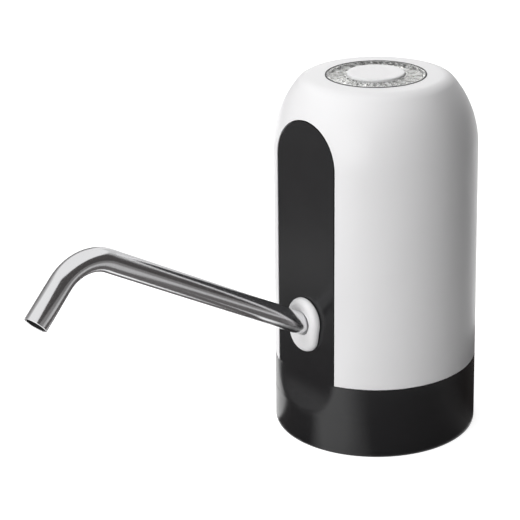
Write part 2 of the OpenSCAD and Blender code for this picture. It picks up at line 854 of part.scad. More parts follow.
// The collar's egg outline, drawn in by the given amount, with the tube's axis at the origin
module egg(inset) {
    up = collar_up - collar_top_r;
    low = collar_down - collar_low_r;
    lean = asin((collar_top_r - collar_low_r) / (up + low));
    big = collar_top_r - inset;
    small = collar_low_r - inset;
    translate([0, up]) circle(big);
    translate([0, -low]) circle(small);
    flank = [
        up * [0, 1] + (big - eps) * [cos(lean), -sin(lean)],
        -low * [0, 1] + (small - eps) * [cos(lean), -sin(lean)]
    ];
    polygon([flank[0], flank[1], [-flank[1][0], flank[1][1]], [-flank[0][0], flank[0][1]]]);
}

module spout_collar() {
    steps = 4;
    last = 75;
    straight = 0.3;
    color("white") difference() {
        union() {
            for (a = [0 : last / steps : last])
                translate([0, collar_back, outlet_z]) rotate([90, 0, 0])
                    linear_extrude(collar_t * (straight + (1 - straight) * sin(a) / sin(last)))
                        egg(collar_edge * (1 - cos(a)));
            translate([0, 0, outlet_z]) rod_y(plug_r, collar_back - eps, plug_end);
        }
        translate([0, 0, outlet_z]) {
            rod_y(tube_r + run_gap, collar_front - 1, plug_end + 1);
            translate([0, collar_front, 0]) rotate([-90, 0, 0])
                cylinder(r1 = mouth_r, r2 = tube_r + run_gap, h = collar_t);
            difference() {
                rod_y(plug_r + 1, plug_end - 4.3 * o_ring_t, plug_end - 3 * o_ring_t);
                rod_y(plug_r - o_ring_t, plug_end - 5 * o_ring_t, plug_end);
            }
        }
    }
}

module plug_o_ring() {
    color("#2b2b2d") translate([0, plug_end - 3.65 * o_ring_t, outlet_z]) rotate([90, 0, 0])
        rotate_extrude() translate([plug_r - o_ring_t / 2 + fit_gap / 2, 0]) circle(o_ring_t / 2);
}

module outlet_socket() {
    color("whitesmoke") translate([0, 0, outlet_z]) difference() {
        union() {
            rod_y(socket_r, socket_face, socket_back);
            rod_y(nozzle_r, socket_back - eps, nozzle_tip);
            for (s = [-1, 1])
                translate([s * ear_x, 0, 0]) rod_y(ear_r, socket_face, socket_face + outlet_floor);
            translate([-ear_x, socket_face, -ear_r]) cube([2 * ear_x, outlet_floor, 2 * ear_r]);
        }
        rod_y(socket_bore, socket_face - 1, socket_floor);
        rod_y(passage_r, socket_floor - 1, nozzle_tip + 1);
        for (s = [-1, 1])
            translate([s * ear_x, 0, 0])
                rod_y(small_hole_r, socket_face - 1, socket_face + outlet_floor + 1);
    }
}

module socket_screws() {
    color("silver") for (s = [-1, 1])
        translate([s * ear_x, socket_face + outlet_floor, outlet_z]) rotate([90, 0, 0])
            screw(small_screw_r, outlet_floor + ear_screw_bite - 0.2, small_head_r, small_head_h);
}

// Hose from the pump's outlet nozzle round to the socket's nozzle
module outlet_hose() {
    arc_end = outlet_aim[1] - hose_tangent;
    start = pump_at + polar(hose_start, outlet_deg);
    color("gainsboro") translate([0, 0, outlet_z]) {
        straight_tube(start, outlet_deg, hose_arc_start - hose_start, hose_r, hose_wall, 0, let_in);
        bent_tube([-hose_bend_r, arc_end], hose_bend_r, 0, hose_turn, hose_r, hose_wall);
        straight_tube([0, arc_end], -90, arc_end - socket_back - 0.1, hose_r, hose_wall, let_in, 0);
    }
}

// Intake

module inlet_fitting() {
    color("whitesmoke") difference() {
        union() {
            disc(intake_r, intake_tip, deck_bot - nut_h + eps);
            disc(thread_r, deck_bot - nut_h, deck_top + eps);
            disc(thread_r + intake_flange_w, deck_top, deck_top + intake_flange_t);
            disc(nozzle_r, deck_top, nipple_top);
        }
        disc(intake_bore, intake_tip - 1, deck_bot);
        disc(passage_r, intake_tip - 1, nipple_top + 1);
    }
}

module inlet_washer() {
    color("#2b2b2d") tube(thread_r + intake_flange_w, thread_r + fit_gap, deck_top - washer_t, deck_top);
}

module inlet_nut() {
    color("whitesmoke") difference() {
        translate([0, 0, deck_bot - nut_h]) cylinder(r = thread_r + 2.8, h = nut_h, $fn = 6);
        disc(thread_r + fit_gap, deck_bot - nut_h - 1, deck_bot + 1);
    }
}

module inlet_coupler() {
    color("gainsboro") tube(hose_r, hose_in, deck_top + intake_flange_t, pump_bot);
}

// Cradle

module cradle() {
    color("gainsboro") difference() {
        union() {
            at_pump() tube(cradle_out, cradle_in, deck_top, cradle_top);
            at_pump() tube(cradle_out, cradle_in - damper_t - ledge_w, pump_bot - ledge_t, pump_bot);
            at_battery() disc(cup_out, deck_top, cradle_top);
            for (p = foot_tabs) translate([p[0], p[1], 0]) disc(foot_tab_r, deck_top, foot_top);
            translate([0, 0, deck_top]) linear_extrude(cradle_h) difference() {
                polygon([
                    pump_at + polar(cradle_in + cradle_wall / 2, 30),
                    battery_at + polar(cup_in + cradle_wall / 2, 150),
                    battery_at + polar(cup_in + cradle_wall / 2, 190),
                    pump_at + polar(cradle_in + cradle_wall / 2, -15)
                ]);
                translate(pump_at) circle(cradle_in + cradle_wall / 2);
                translate(battery_at) circle(cup_in + cradle_wall / 2);
            }
        }
        at_battery() disc(cup_in, foot_top, cradle_top + 1);
        at_battery() rotate(strip_deg) translate([0, -tab_w / 2 - 0.5, foot_top])
            cube([cell_r + 1, tab_w + 1, cradle_h]);
        at_pump() rotate(outlet_deg)
            translate([cradle_in - 3 * damper_t, -slot_w / 2, outlet_z - slot_w / 2])
                cube([far, slot_w, far]);
        disc(hose_r + 0.4, deck_top - 1, pump_bot + 1);
        disc(thread_r + intake_flange_w + 0.3, deck_top - 1, deck_top + intake_flange_t + 0.3);
        for (p = foot_tabs) translate([p[0], p[1], 0]) {
            disc(hole_r, deck_top - 1, foot_top + 1);
            disc(head_well_r, foot_top, cradle_top + 1);
        }
    }
}

module cradle_screws() {
    color("silver") for (p = foot_tabs)
        translate([p[0], p[1], foot_top]) rotate([180, 0, 0])
            screw(screw_r, cradle_foot + short_screw_len - 1.5, screw_head_r, screw_head_h);
}

module pump_damper() {
    color("#4a4a4d") difference() {
        at_pump() tube(cradle_in - fit_gap, pump_r + fit_gap, pump_bot, cradle_top);
        at_pump() rotate(outlet_deg) translate([0, -slot_w / 2, outlet_z - slot_w / 2])
            cube([far, slot_w, far]);
    }
}

// Pump

module pump_cover() {
    color("#2f3033") difference() {
        union() {
            at_pump() disc(pump_r, pump_bot, valve_bot);
            at_pump() rotate(outlet_deg) translate([0, 0, outlet_z]) rotate([0, 90, 0])
                cylinder(r = nozzle_r, h = outlet_tip);
            disc(nozzle_r, inlet_tip, pump_bot + eps);
        }
        at_pump() {
            disc(outlet_chamber_r, pump_bot + chamber_floor, valve_bot + 1);
            rotate(outlet_deg) translate([0, 0, outlet_z]) rotate([0, 90, 0])
                cylinder(r = passage_r, h = outlet_tip + 1);
            difference() {
                tube(inlet_chamber_out, inlet_chamber_in, pump_bot + chamber_floor, valve_bot + 1);
                around(pump_screws_at, pump_screw_ring)
                    disc(small_head_r + 0.6, pump_bot, valve_bot + 1);
                rotate(outlet_deg) translate([0, 0, outlet_z]) rotate([0, 90, 0])
                    cylinder(r = nozzle_r, h = pump_r);
            }
            around(pump_screws_at, pump_screw_ring) {
                disc(small_hole_r, pump_bot - 1, valve_bot + 1);
                disc(small_head_r + fit_gap, pump_bot - 1, pump_bot + small_head_h + head_sink);
            }
        }
        disc(passage_r, inlet_tip - 1, pump_bot + chamber_floor + 1);
    }
}

module pump_screws() {
    color("silver") at_pump() around(pump_screws_at, pump_screw_ring)
        translate([0, 0, pump_bot + small_head_h + head_sink])
            screw(small_screw_r, body_bot + pump_bite - pump_bot - small_head_h, small_head_r, small_head_h);
}

module valve_plate() {
    color("whitesmoke") at_pump() difference() {
        disc(pump_r, valve_bot, membrane_bot);
        around(pump_screws_at, pump_screw_ring)
            disc(small_hole_r, valve_bot - 1, membrane_bot + 1);
        around(cups, cup_ring + inlet_port_out) disc(inlet_port_r, valve_bot - 1, membrane_bot + 1);
        around(cups, outlet_chamber_r - outlet_port_r - 0.2)
            disc(outlet_port_r, valve_bot - 1, membrane_bot + 1);
        disc(flap_stem_r + fit_gap, valve_bot - 1, membrane_bot + 1);
    }
}

module valve_flaps() {
    color("orange") at_pump() {
        around(cups, cup_ring + inlet_port_out) disc(flap_r, membrane_bot, membrane_bot + flap_t);
        disc(outlet_chamber_r - 2 * fit_gap, valve_bot - flap_t, valve_bot);
        disc(flap_stem_r, valve_bot - flap_t / 2, membrane_bot + flap_t / 2);
        disc(flap_head_r, membrane_bot, membrane_bot + flap_t);
    }
}

module diaphragm() {
    color("#333336") difference() {
        at_pump() difference() {
            union() {
                disc(pump_r, membrane_bot, body_bot);
                around(cups, cup_ring) {
                    disc(cup_r, membrane_bot, cup_top);
                    disc(knob_r, cup_top - eps, wobble_z + 2);
                }
            }
            around(cups, cup_ring) disc(cup_r - cup_wall, membrane_bot - 1, cup_top - 1);
            around(pump_screws_at, pump_screw_ring)
                disc(small_hole_r, membrane_bot - 1, body_bot + 1);
            disc(flap_head_r + 0.4, membrane_bot - 1, body_bot + 1);
        }
        on_crank() translate([-far, -far, -wobble_t / 2 - knob_gap]) cube(2 * far);
    }
}

module pump_body() {
    color("#2f3033") at_pump() difference() {
        union() {
            difference() {
                disc(pump_r, body_bot, body_top);
                disc(cavity_r, cavity_bot, cavity_top);
            }
            around(pump_screws_at, pump_screw_ring)
                disc(small_head_r, body_bot, body_bot + pump_bite + 0.6);
        }
        around(cups, cup_ring) disc(cup_r + 0.3, body_bot - 1, cavity_bot + 1);
        around(pump_screws_at, pump_screw_ring)
            disc(small_hole_r, body_bot - 1, body_bot + pump_bite + 0.4);
        disc(boss_r + fit_gap, cavity_top - 1, body_top + 1);
        around([0, 180], motor_screw_ring) disc(small_hole_r, cavity_top - 1, body_top + 1);
    }
}

module wobble_plate() {
    color("ivory") on_crank() difference() {
        union() {
            translate([0, 0, -wobble_t / 2]) {
                cylinder(r = wobble_hub_r, h = wobble_t);
                around(cups, cup_ring) cylinder(r = wobble_pad_r, h = wobble_t);
                for (a = cups)
                    rotate(a) translate([0, -wobble_arm_w / 2, 0]) cube([cup_ring, wobble_arm_w, wobble_t]);
            }
            cylinder(r = crank_r + wobble_sleeve_wall, h = hub_rise - 0.7);
        }
        translate([0, 0, crank_low - 0.1]) cylinder(r = crank_r + run_gap, h = far);
    }
}

module eccentric() {
    color("ivory") difference() {
        at_pump() disc(hub_r, hub_bot, hub_top);
        at_pump() disc(shaft_r + run_gap / 2, shaft_bot, hub_top + 1);
        on_crank() translate([0, 0, hub_rise - 1])
            cylinder(r = crank_r + run_gap / 2, h = crank_high - hub_rise + 1.1);
    }
}

module crank_pin() {
    color("silver") on_crank() translate([0, 0, crank_low])
        cylinder(r = crank_r, h = crank_high - crank_low);
}

// Motor

module motor_can() {
    color("#b8babd") at_pump() difference() {
        union() {
            disc(motor_r, body_top, can_top);
            disc(boss_r, body_top - boss_drop, body_top + eps);
        }
        disc(can_in, body_top + can_wall, can_top + 1);
        disc(bush_r + fit_gap, body_top - boss_drop - 1, can_top);
        around([0, 180], motor_screw_ring) disc(small_hole_r, body_top - 1, body_top + 2);
    }
}

module motor_screws() {
    color("silver") at_pump() around([0, 180], motor_screw_ring) translate([0, 0, cavity_top])
        screw(small_screw_r, pump_plate + can_wall, small_head_r, small_head_h);
}

module motor_magnets() {
    color("#3d3d40") at_pump() difference() {
        tube(can_in - fit_gap, can_in - magnet_t, magnet_bot, magnet_top);
        for (a = [0, 180])
            rotate(a) translate([0, -magnet_gap / 2, 0]) cube([far, magnet_gap, 2 * far]);
    }
}

module motor_bushes() {
    color("peru") at_pump() {
        tube(bush_r, shaft_r + run_gap, body_top - boss_drop, body_top + can_wall + 0.5);
        tube(bush_r, shaft_r + run_gap, can_top - plug_depth + 0.2, cap_top + 0.4);
    }
}

module motor_shaft() {
    color("silver") at_pump() disc(shaft_r, shaft_bot, shaft_top);
}

module armature() {
    color("#b5651d") at_pump() difference() {
        union() {
            difference() {
                disc(armature_r, armature_bot, armature_top);
                for (a = [0, 120, 240])
                    rotate(a) translate([core_r, -core_slot / 2, 0]) cube([far, core_slot, 2 * far]);
            }
            disc(armature_r - 1.4, armature_bot - coil_t, armature_top + coil_t);
        }
        disc(shaft_r + run_gap / 2, 0, 2 * far);
    }
}

module commutator() {
    color("#c77b3b") at_pump() tube(commutator_r, shaft_r + run_gap / 2, commutator_bot, commutator_top);
}

module motor_brushes() {
    brush_z = (commutator_bot + commutator_top) / 2;
    color("#2e2e30") at_pump() for (a = [0, 180]) rotate(a) {
        translate([commutator_r + fit_gap, -brush_w / 2, brush_z - brush_w / 2])
            cube([brush_len, brush_w, brush_w]);
        translate([commutator_r + brush_len - brush_strip, -brush_w / 2, brush_z - brush_w / 2])
            cube([brush_strip, brush_w, can_top - plug_depth - brush_z + brush_w / 2]);
    }
}

module motor_end_cap() {
    color("white") at_pump() difference() {
        union() {
            disc(motor_r, can_top, cap_top);
            disc(can_in - fit_gap, can_top - plug_depth, can_top + eps);
        }
        disc(bush_r + fit_gap, can_top - plug_depth - 1, cap_top + 1);
    }
}

module motor_terminals() {
    color("goldenrod") at_pump() for (s = [-1, 1])
        translate([s * terminal_x - terminal_t / 2, -terminal_w / 2, cap_top])
            cube([terminal_t, terminal_w, terminal_h]);
}

// Battery

module battery_cell() {
    color("steelblue") at_battery() disc(cell_r, cell_bot, cell_top);
}

module battery_tabs() {
    color("lightgray") at_battery() rotate(strip_deg) {
        translate([-tab_w, -tab_w / 2, cell_bot - tab_t]) cube([tab_w + cell_r + 2 * tab_t, tab_w, tab_t]);
        translate([cell_r + tab_t, -tab_w / 2, cell_bot - tab_t])
            cube([tab_t, tab_w, strip_top - cell_bot + tab_t]);
        translate([-cell_r / 2, -tab_w / 2, cell_top]) cube([cell_r, tab_w, tab_t]);
    }
}

module battery_pad() {
    color("#58585c") at_battery() rotate(strip_deg) difference() {
        disc(pad_r, tab_top, board_bot);
        translate([-cell_r, -tab_w / 2 - 1, tab_top - 1]) cube([cell_r / 2 + 2, tab_w + 2, far]);
    }
}

// Charging

module charge_board() {
    color("seagreen") difference() {
        translate([-charge_w / 2, charge_y - charge_len, charge_bot]) cube([charge_w, charge_len, board_t]);
        for (s = [-1, 1])
            translate([s * charge_post_at[0], charge_post_at[1], 0])
                disc(hole_r, charge_bot - 1, charge_top + 1);
    }
}

module charge_screws() {
    color("silver") for (s = [-1, 1])
        translate([s * charge_post_at[0], charge_post_at[1], charge_top]) rotate([180, 0, 0])
            screw(screw_r, board_t + short_screw_len - 1, screw_head_r, screw_head_h);
}

module usb_shell() {
    color("silver") translate([0, usb_mouth, usb_z]) rotate([90, 0, 0]) difference() {
        linear_extrude(usb_len) stadium(usb_w, usb_h);
        translate([0, 0, -1]) linear_extrude(usb_len)
            stadium(usb_w - 2 * usb_wall, usb_h - 2 * usb_wall);
    }
}

module usb_tongue() {
    color("#1c1c1e") translate([0, usb_mouth - 1, usb_z]) rotate([90, 0, 0])
        linear_extrude(usb_len - 2) square([usb_w - usb_h + tongue_t, tongue_t], center = true);
}

// Inner leads

module motor_leads() {
    low = cap_top + terminal_h;
    gap = board_bot - low;
    color("firebrick") at_pump() for (s = [-1, 1])
        lead([
            [s * terminal_x, 0, low],
            [s * terminal_x, 0, low + gap * 0.2],
            [s * terminal_x + lead_bow, lead_bow, low + gap / 2],
            [s * terminal_x + 2 * lead_bow, 2 * lead_bow, low + gap * 0.8],
            [s * terminal_x + 2 * lead_bow, 2 * lead_bow, board_bot]
        ], lead_r);
}

// A lead that rises from a point at a height to the board, with a slight bow
module rising_lead(x, low, bow) {
    gap = board_bot - low;
    lead([
        [x, 0, low], [x, 0, low + gap * 0.2], [x + bow, 0, low + gap / 2],
        [x, 0, low + gap * 0.8], [x, 0, board_bot]
    ], lead_r);
}

module battery_leads() {
    color("#262628") at_battery() rotate(strip_deg) {
        rising_lead(cell_r + 1.5 * tab_t, strip_top, lead_bow);
        rising_lead(lead_r - cell_r / 2, tab_top, -lead_bow);
    }
}

module charge_leads() {
    start_y = charge_y - charge_len + lead_r + 0.4;
    gap = board_bot - charge_top;
    color("firebrick") for (s = [-1, 1])
        lead([
            [s * 2 * lead_r, start_y, charge_top],
            [s * 2 * lead_r, start_y, charge_top + gap * 0.06],
            [s * 2 * lead_r, start_y + 2 * lead_bow, charge_top + gap * 0.2],
            [s * 2 * lead_r, start_y + 2 * lead_bow, charge_top + gap / 2],
            [s * 2 * lead_r, start_y + lead_bow, charge_top + gap * 0.8],
            [s * 2 * lead_r, start_y - 5 * lead_bow, charge_top + gap * 0.9],
            [s * 2 * lead_r, start_y - 6 * lead_bow, charge_top + gap * 0.95],
            [s * 2 * lead_r, start_y - 6 * lead_bow, board_bot]
        ], lead_r);
}

upper_shell();
base_housing();
neck_sleeve();
light_ring();
ring_gasket();
button_cap();
spout_collar();
plug_o_ring();
spout_tube();
outlet_socket();
socket_screws();
outlet_hose();
inlet_fitting();
inlet_washer();
inlet_nut();
inlet_coupler();
cradle();
cradle_screws();
pump_damper();
pump_cover();
valve_plate();
valve_flaps();
diaphragm();
pump_body();
pump_screws();
wobble_plate();
eccentric();
crank_pin();
motor_can();
motor_screws();
motor_magnets();
motor_bushes();
motor_shaft();
armature();
commutator();
motor_brushes();
motor_end_cap();
motor_terminals();
battery_cell();
battery_tabs();
battery_pad();
control_board();
board_screws();
switch_body();
switch_plunger();
leds();
charge_board();
charge_screws();
usb_shell();
usb_tongue();
shell_screws();
motor_leads();
battery_leads();
charge_leads();
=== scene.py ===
# %% [markdown]
# # A rechargeable pump for a water jug
# This lesson dresses a packed mechanical model of the pump. The model gives every piece at its real
# size and place, and Blender adds the finish: rounded edges, plastics, rubber and polished steel.
# Everything is in metres, with the origin where the jug's neck enters and the spout along -Y.

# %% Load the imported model
import json
import math

import bmesh
import bpy
from mathutils import Matrix, Vector


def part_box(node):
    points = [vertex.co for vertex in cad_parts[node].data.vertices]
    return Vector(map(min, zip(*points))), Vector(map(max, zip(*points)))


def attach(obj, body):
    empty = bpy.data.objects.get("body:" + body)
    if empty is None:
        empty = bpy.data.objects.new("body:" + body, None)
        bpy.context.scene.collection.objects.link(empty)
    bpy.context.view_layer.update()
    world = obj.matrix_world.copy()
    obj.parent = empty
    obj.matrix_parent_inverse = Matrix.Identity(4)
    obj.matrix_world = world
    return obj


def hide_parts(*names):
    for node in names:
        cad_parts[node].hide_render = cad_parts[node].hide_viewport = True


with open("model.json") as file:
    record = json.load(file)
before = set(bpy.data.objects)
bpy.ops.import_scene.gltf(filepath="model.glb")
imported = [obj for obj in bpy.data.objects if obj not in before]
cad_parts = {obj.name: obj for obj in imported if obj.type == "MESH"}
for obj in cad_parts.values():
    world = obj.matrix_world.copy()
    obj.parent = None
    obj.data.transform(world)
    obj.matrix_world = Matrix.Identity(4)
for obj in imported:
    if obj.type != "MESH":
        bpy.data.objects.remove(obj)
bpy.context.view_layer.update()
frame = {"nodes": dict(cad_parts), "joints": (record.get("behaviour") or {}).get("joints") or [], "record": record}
record = frame["record"]
scene = bpy.context.scene
scene.view_settings.view_transform = "Standard"
MM = 0.001

# %% [markdown]
# ## The camera
# A camera can be set by eye, but here its place was solved from the outline of the pump: the ellipses
# of the rim and seam, the ends of the spout and the arch give one view that fits them all. The long
# lens keeps the verticals nearly parallel, as in a catalogue picture.

# %% Camera
camera_at = Vector((0.42068, -0.39229, 0.28790))
camera_forward = Vector((-0.7246, 0.5836, -0.3667)).normalized()
camera_up = Vector((-0.2714, 0.2474, 0.9301)).normalized()
camera_data = bpy.data.cameras.new("camera")
camera_data.lens = 118.07
camera_data.sensor_width = 36.0
camera_data.clip_start = 0.01
camera = bpy.data.objects.new("camera", camera_data)
side = camera_forward.cross(camera_up)
turn = Matrix((side, side.cross(camera_forward), -camera_forward)).transposed()
camera.matrix_world = Matrix.Translation(camera_at) @ turn.to_4x4()
scene.collection.objects.link(camera)
scene.camera = camera
print("camera lens", camera_data.lens, "at", tuple(round(c, 3) for c in camera_at))

# %% [markdown]
# ## Finishes
# A moulded plastic is never one flat colour: the pigment drifts a little, the gloss changes where
# the tool was polished, and a fine skin breaks up the highlights. One builder makes all the moulded,
# rubber and metal finishes from the same three noises, each at its own scale and strength. The noises
# read object coordinates, so they stay on the surface when a piece moves.

# %% Finish builder
drift_scale = 45.0
gloss_scale = 130.0
grain_strength = 0.25
noise_low, noise_high = 0.3, 0.7


def noise(nodes, links, source, scale, detail=3.0, stretch=None):
    """A noise texture on a set of coordinates, optionally stretched along an axis."""
    if stretch:
        mapping = nodes.new("ShaderNodeMapping")
        mapping.inputs["Scale"].default_value = stretch
        links.new(source, mapping.inputs["Vector"])
        source = mapping.outputs["Vector"]
    texture = nodes.new("ShaderNodeTexNoise")
    texture.inputs["Scale"].default_value = scale
    texture.inputs["Detail"].default_value = detail
    links.new(source, texture.inputs["Vector"])
    return texture.outputs["Fac"]


def spread(nodes, links, value, low, high):
    """Maps a noise to a range, for roughness."""
    ranged = nodes.new("ShaderNodeMapRange")
    ranged.inputs["From Min"].default_value = noise_low
    ranged.inputs["From Max"].default_value = noise_high
    ranged.inputs["To Min"].default_value = low
    ranged.inputs["To Max"].default_value = high
    links.new(value, ranged.inputs["Value"])
    return ranged.outputs["Result"]


def finish(name, colour, drift, rough, grain, metallic=0.0, lay=None):
    """A finish: colour with drift, a (low, high) roughness and a (scale, height in mm) skin.

    With lay, a (attribute, stretch) pair, the noises run along a piece's own lay instead.
    """
    material = bpy.data.materials.new(name)
    material.use_nodes = True
    nodes, links = material.node_tree.nodes, material.node_tree.links
    shader = nodes["Principled BSDF"]
    shader.inputs["Metallic"].default_value = metallic
    stretch = None
    if lay:
        along = nodes.new("ShaderNodeAttribute")
        along.attribute_name, stretch = lay
        source = along.outputs["Vector"]
    else:
        source = nodes.new("ShaderNodeTexCoord").outputs["Object"]
    ramp = nodes.new("ShaderNodeValToRGB")
    for stop, place, change in zip(ramp.color_ramp.elements, (noise_low, noise_high), (-drift, drift)):
        stop.position = place
        stop.color = [max(0.0, c * (1 + change)) for c in colour[:3]] + [1.0]
    links.new(noise(nodes, links, source, drift_scale), ramp.inputs["Fac"])
    links.new(ramp.outputs["Color"], shader.inputs["Base Color"])
    gloss = noise(nodes, links, source, gloss_scale, stretch=stretch)
    links.new(spread(nodes, links, gloss, *rough), shader.inputs["Roughness"])
    bump = nodes.new("ShaderNodeBump")
    bump.inputs["Strength"].default_value = grain_strength
    bump.inputs["Distance"].default_value = grain[1] * MM
    links.new(noise(nodes, links, source, grain[0], 2.0, stretch), bump.inputs["Height"])
    links.new(bump.outputs["Normal"], shader.inputs["Normal"])
    return material


print("finish builder ready")

# %% [markdown]
# Every slot of the model gets its own drift, gloss and skin. The shell is a bright white ABS with a soft
# gloss, the base the same plastic in black with a fine spark texture, and the spout a stainless tube
# polished along its length, whose streaks run with the tube. Only the clear ring and the spout need a
# setting more.

# %% Finishes by slot
colours = {m["slot"]: m["base_color"] for m in record["materials"]}
skins = {
    "white_gloss": (0.003, (0.285, 0.31), (1400, 0.002), 0.0),
    "black_satin": (0.08, (0.22, 0.265), (1600, 0.008), 0.0),
    "dark_rubber": (0.15, (0.55, 0.70), (1200, 0.06), 0.0),
    "clear_ring": (0.0, (0.03, 0.06), (300, 0.01), 0.0),
    "spout_steel": (0.02, (0.13, 0.20), (400, 0.004), 1.0),
    "white_satin": (0.03, (0.38, 0.48), (900, 0.03), 0.0),
    "soft_silicone": (0.05, (0.40, 0.52), (500, 0.03), 0.0),
    "pump_black": (0.12, (0.40, 0.50), (1200, 0.04), 0.0),
    "screw_steel": (0.06, (0.28, 0.38), (1500, 0.02), 1.0),
    "motor_steel": (0.06, (0.28, 0.38), (800, 0.02), 1.0),
    "magnet": (0.20, (0.50, 0.65), (1500, 0.05), 0.0),
    "bronze": (0.12, (0.40, 0.52), (1800, 0.04), 1.0),
    "copper": (0.12, (0.28, 0.38), (1200, 0.05), 1.0),
    "brass_tab": (0.08, (0.28, 0.36), (900, 0.02), 1.0),
    "carbon": (0.25, (0.50, 0.62), (1800, 0.04), 0.0),
    "cell_wrap": (0.06, (0.28, 0.36), (700, 0.02), 0.0),
    "nickel": (0.06, (0.18, 0.26), (900, 0.02), 1.0),
    "foam": (0.25, (0.80, 0.95), (2200, 0.15), 0.0),
    "board_green": (0.10, (0.32, 0.42), (1500, 0.03), 0.0),
    "lamp": (0.03, (0.18, 0.26), (600, 0.02), 0.0),
    "lead_red": (0.06, (0.36, 0.46), (900, 0.02), 0.0),
    "lead_black": (0.10, (0.36, 0.46), (900, 0.02), 0.0),
}
lays = {"spout_steel": ("lay", (1.0, 1.0, 0.02))}
finishes = {
    slot: finish(slot, colours[slot], drift, rough, grain, metallic, lays.get(slot))
    for slot, (drift, rough, grain, metallic) in skins.items()
}
# The bore's roughness is real; its near-black colour is painted shade for the inside of the tube.
finishes["spout_bore"] = finish("spout_bore", (0.05, 0.05, 0.05), 0.2, (0.55, 0.7), (900, 0.03), 1.0)
settings = {
    "clear_ring": {"Transmission Weight": 1.0, "IOR": 1.49},
    "spout_steel": {"Anisotropic": 0.2},
}
for slot, values in settings.items():
    shader = finishes[slot].node_tree.nodes["Principled BSDF"]
    for socket, value in values.items():
        shader.inputs[socket].default_value = value
for node, part in frame["nodes"].items():
    slot = next(s["material_slot"] for s in record["subparts"] if s["node"] == node)
    part.data.materials.clear()
    part.data.materials.append(finishes[slot])
print("finishes", len(finishes), "on", len(frame["nodes"]), "nodes")

# %% [markdown]
# ## Making pieces from outlines
# Nearly all of this pump is turned or moulded round, so most pieces are outlines spun about an axis.
# Real mouldings have no razor edges, so the outlines get a small bend at the corners that show before
# they are spun. That gives the thin bright edge lines which tell the eye how large a thing is.

# %% Outline helpers
corner_share = 0.45


def arc(centre, radius, start, end, steps):
    """Points on an arc, with angles in degrees."""
    angles = [math.radians(start + (end - start) * i / steps) for i in range(steps + 1)]
    return [(centre[0] + radius * math.cos(a), centre[1] + radius * math.sin(a)) for a in angles]


def rounded(corners, steps=4):
    """A closed outline from (r, z, radius) corners, with a small bend at each that has a radius."""
    points = []
    count = len(corners)
    for i, (r, z, radius) in enumerate(corners):
        here = Vector((r, z))
        back = Vector(corners[i - 1][:2]) - here
        ahead = Vector(corners[(i + 1) % count][:2]) - here
        if radius <= 0:
            points.append((r, z))
            continue
        half = back.angle(ahead) / 2
        reach = min(radius / math.tan(half), corner_share * back.length, corner_share * ahead.length)
        start = here + back.normalized() * reach
        end = here + ahead.normalized() * reach
        for k in range(steps + 1):
            t = k / steps
            bend = start * (1 - t) ** 2 + here * 2 * t * (1 - t) + end * t ** 2
            points.append((bend.x, bend.y))
    return points


def spin_sections(sections):
    """Closed (r, z) sections set evenly round Z and joined, as vertices and faces."""
    steps, count = len(sections), len(sections[0])
    verts, faces = [], []
    for j, section in enumerate(sections):
        a = 2 * math.pi * j / steps
        k = (j + 1) % steps
        verts += [(r * math.sin(a), -r * math.cos(a), z) for r, z in section]
        for i in range(count):
            n = (i + 1) % count
            faces.append((j * count + i, k * count + i, k * count + n, j * count + n))
    return verts, faces


def spin(outline, steps=128):
    """A closed (r, z) outline spun about Z, as vertices and faces."""
    return spin_sections([outline] * steps)


def hoop_faces(hoops, width):
    """Quads between hoops of points, with the last hoop joined to the first."""
    faces = []
    for i in range(hoops):
        n = (i + 1) % hoops
        for k in range(width):
            m = (k + 1) % width
            faces.append((i * width + k, i * width + m, n * width + m, n * width + k))
    return faces


print("outline helpers ready")

# %% Piece helpers
same_point = 1e-7


def closed_mesh(name, verts, faces):
    """A mesh with doubled points joined and every face turned outward."""
    mesh = bpy.data.meshes.new(name)
    mesh.from_pydata(verts, [], faces)
    shape = bmesh.new()
    shape.from_mesh(mesh)
    bmesh.ops.remove_doubles(shape, verts=shape.verts, dist=same_point)
    bmesh.ops.recalc_face_normals(shape, faces=shape.faces)
    shape.to_mesh(mesh)
    shape.free()
    return mesh


def piece(name, verts, faces, body, slot, nodes=(), soften=0.0, angle=45):
    """A named piece on a body, with smooth shading, sharp creases and optional rounded edges."""
    mesh = closed_mesh(name, verts, faces)
    mesh.materials.append(finishes[slot])
    made = bpy.data.objects.new(name, mesh)
    scene.collection.objects.link(made)
    dress(made, soften, angle)
    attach(made, body)
    if nodes:
        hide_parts(*nodes)
    print(name, len(mesh.vertices), "vertices on", body)
    return made


def dress(made, soften, angle=45):
    """Smooth shading with sharp creases, and a bevel that rounds them."""
    made.data.shade_smooth()
    made.data.set_sharp_from_angle(angle=math.radians(angle))
    if soften > 0:
        bevel = made.modifiers.new("soft_edges", "BEVEL")
        bevel.width = soften
        bevel.segments = 3
        bevel.limit_method = "ANGLE"
        bevel.angle_limit = math.radians(angle)
        flat = made.modifiers.new("flat_faces", "WEIGHTED_NORMAL")
        flat.keep_sharp = True


print("piece helpers ready")

# %% [markdown]
# Openings such as the charging slot are cut with throwaway shapes, before the edges are rounded.

# %% Cutting helpers
def cut(made, cutters):
    """Cuts openings out of a piece, before its edges are rounded."""
    for cutter in cutters:
        knife = made.modifiers.new("opening", "BOOLEAN")
        knife.operation = "DIFFERENCE"
        knife.solver = "EXACT"
        knife.object = cutter
        with bpy.context.temp_override(object=made, active_object=made, selected_objects=[made]):
            bpy.ops.object.modifier_move_to_index(modifier="opening", index=0)
            bpy.ops.object.modifier_apply(modifier="opening")
        bpy.data.objects.remove(cutter)


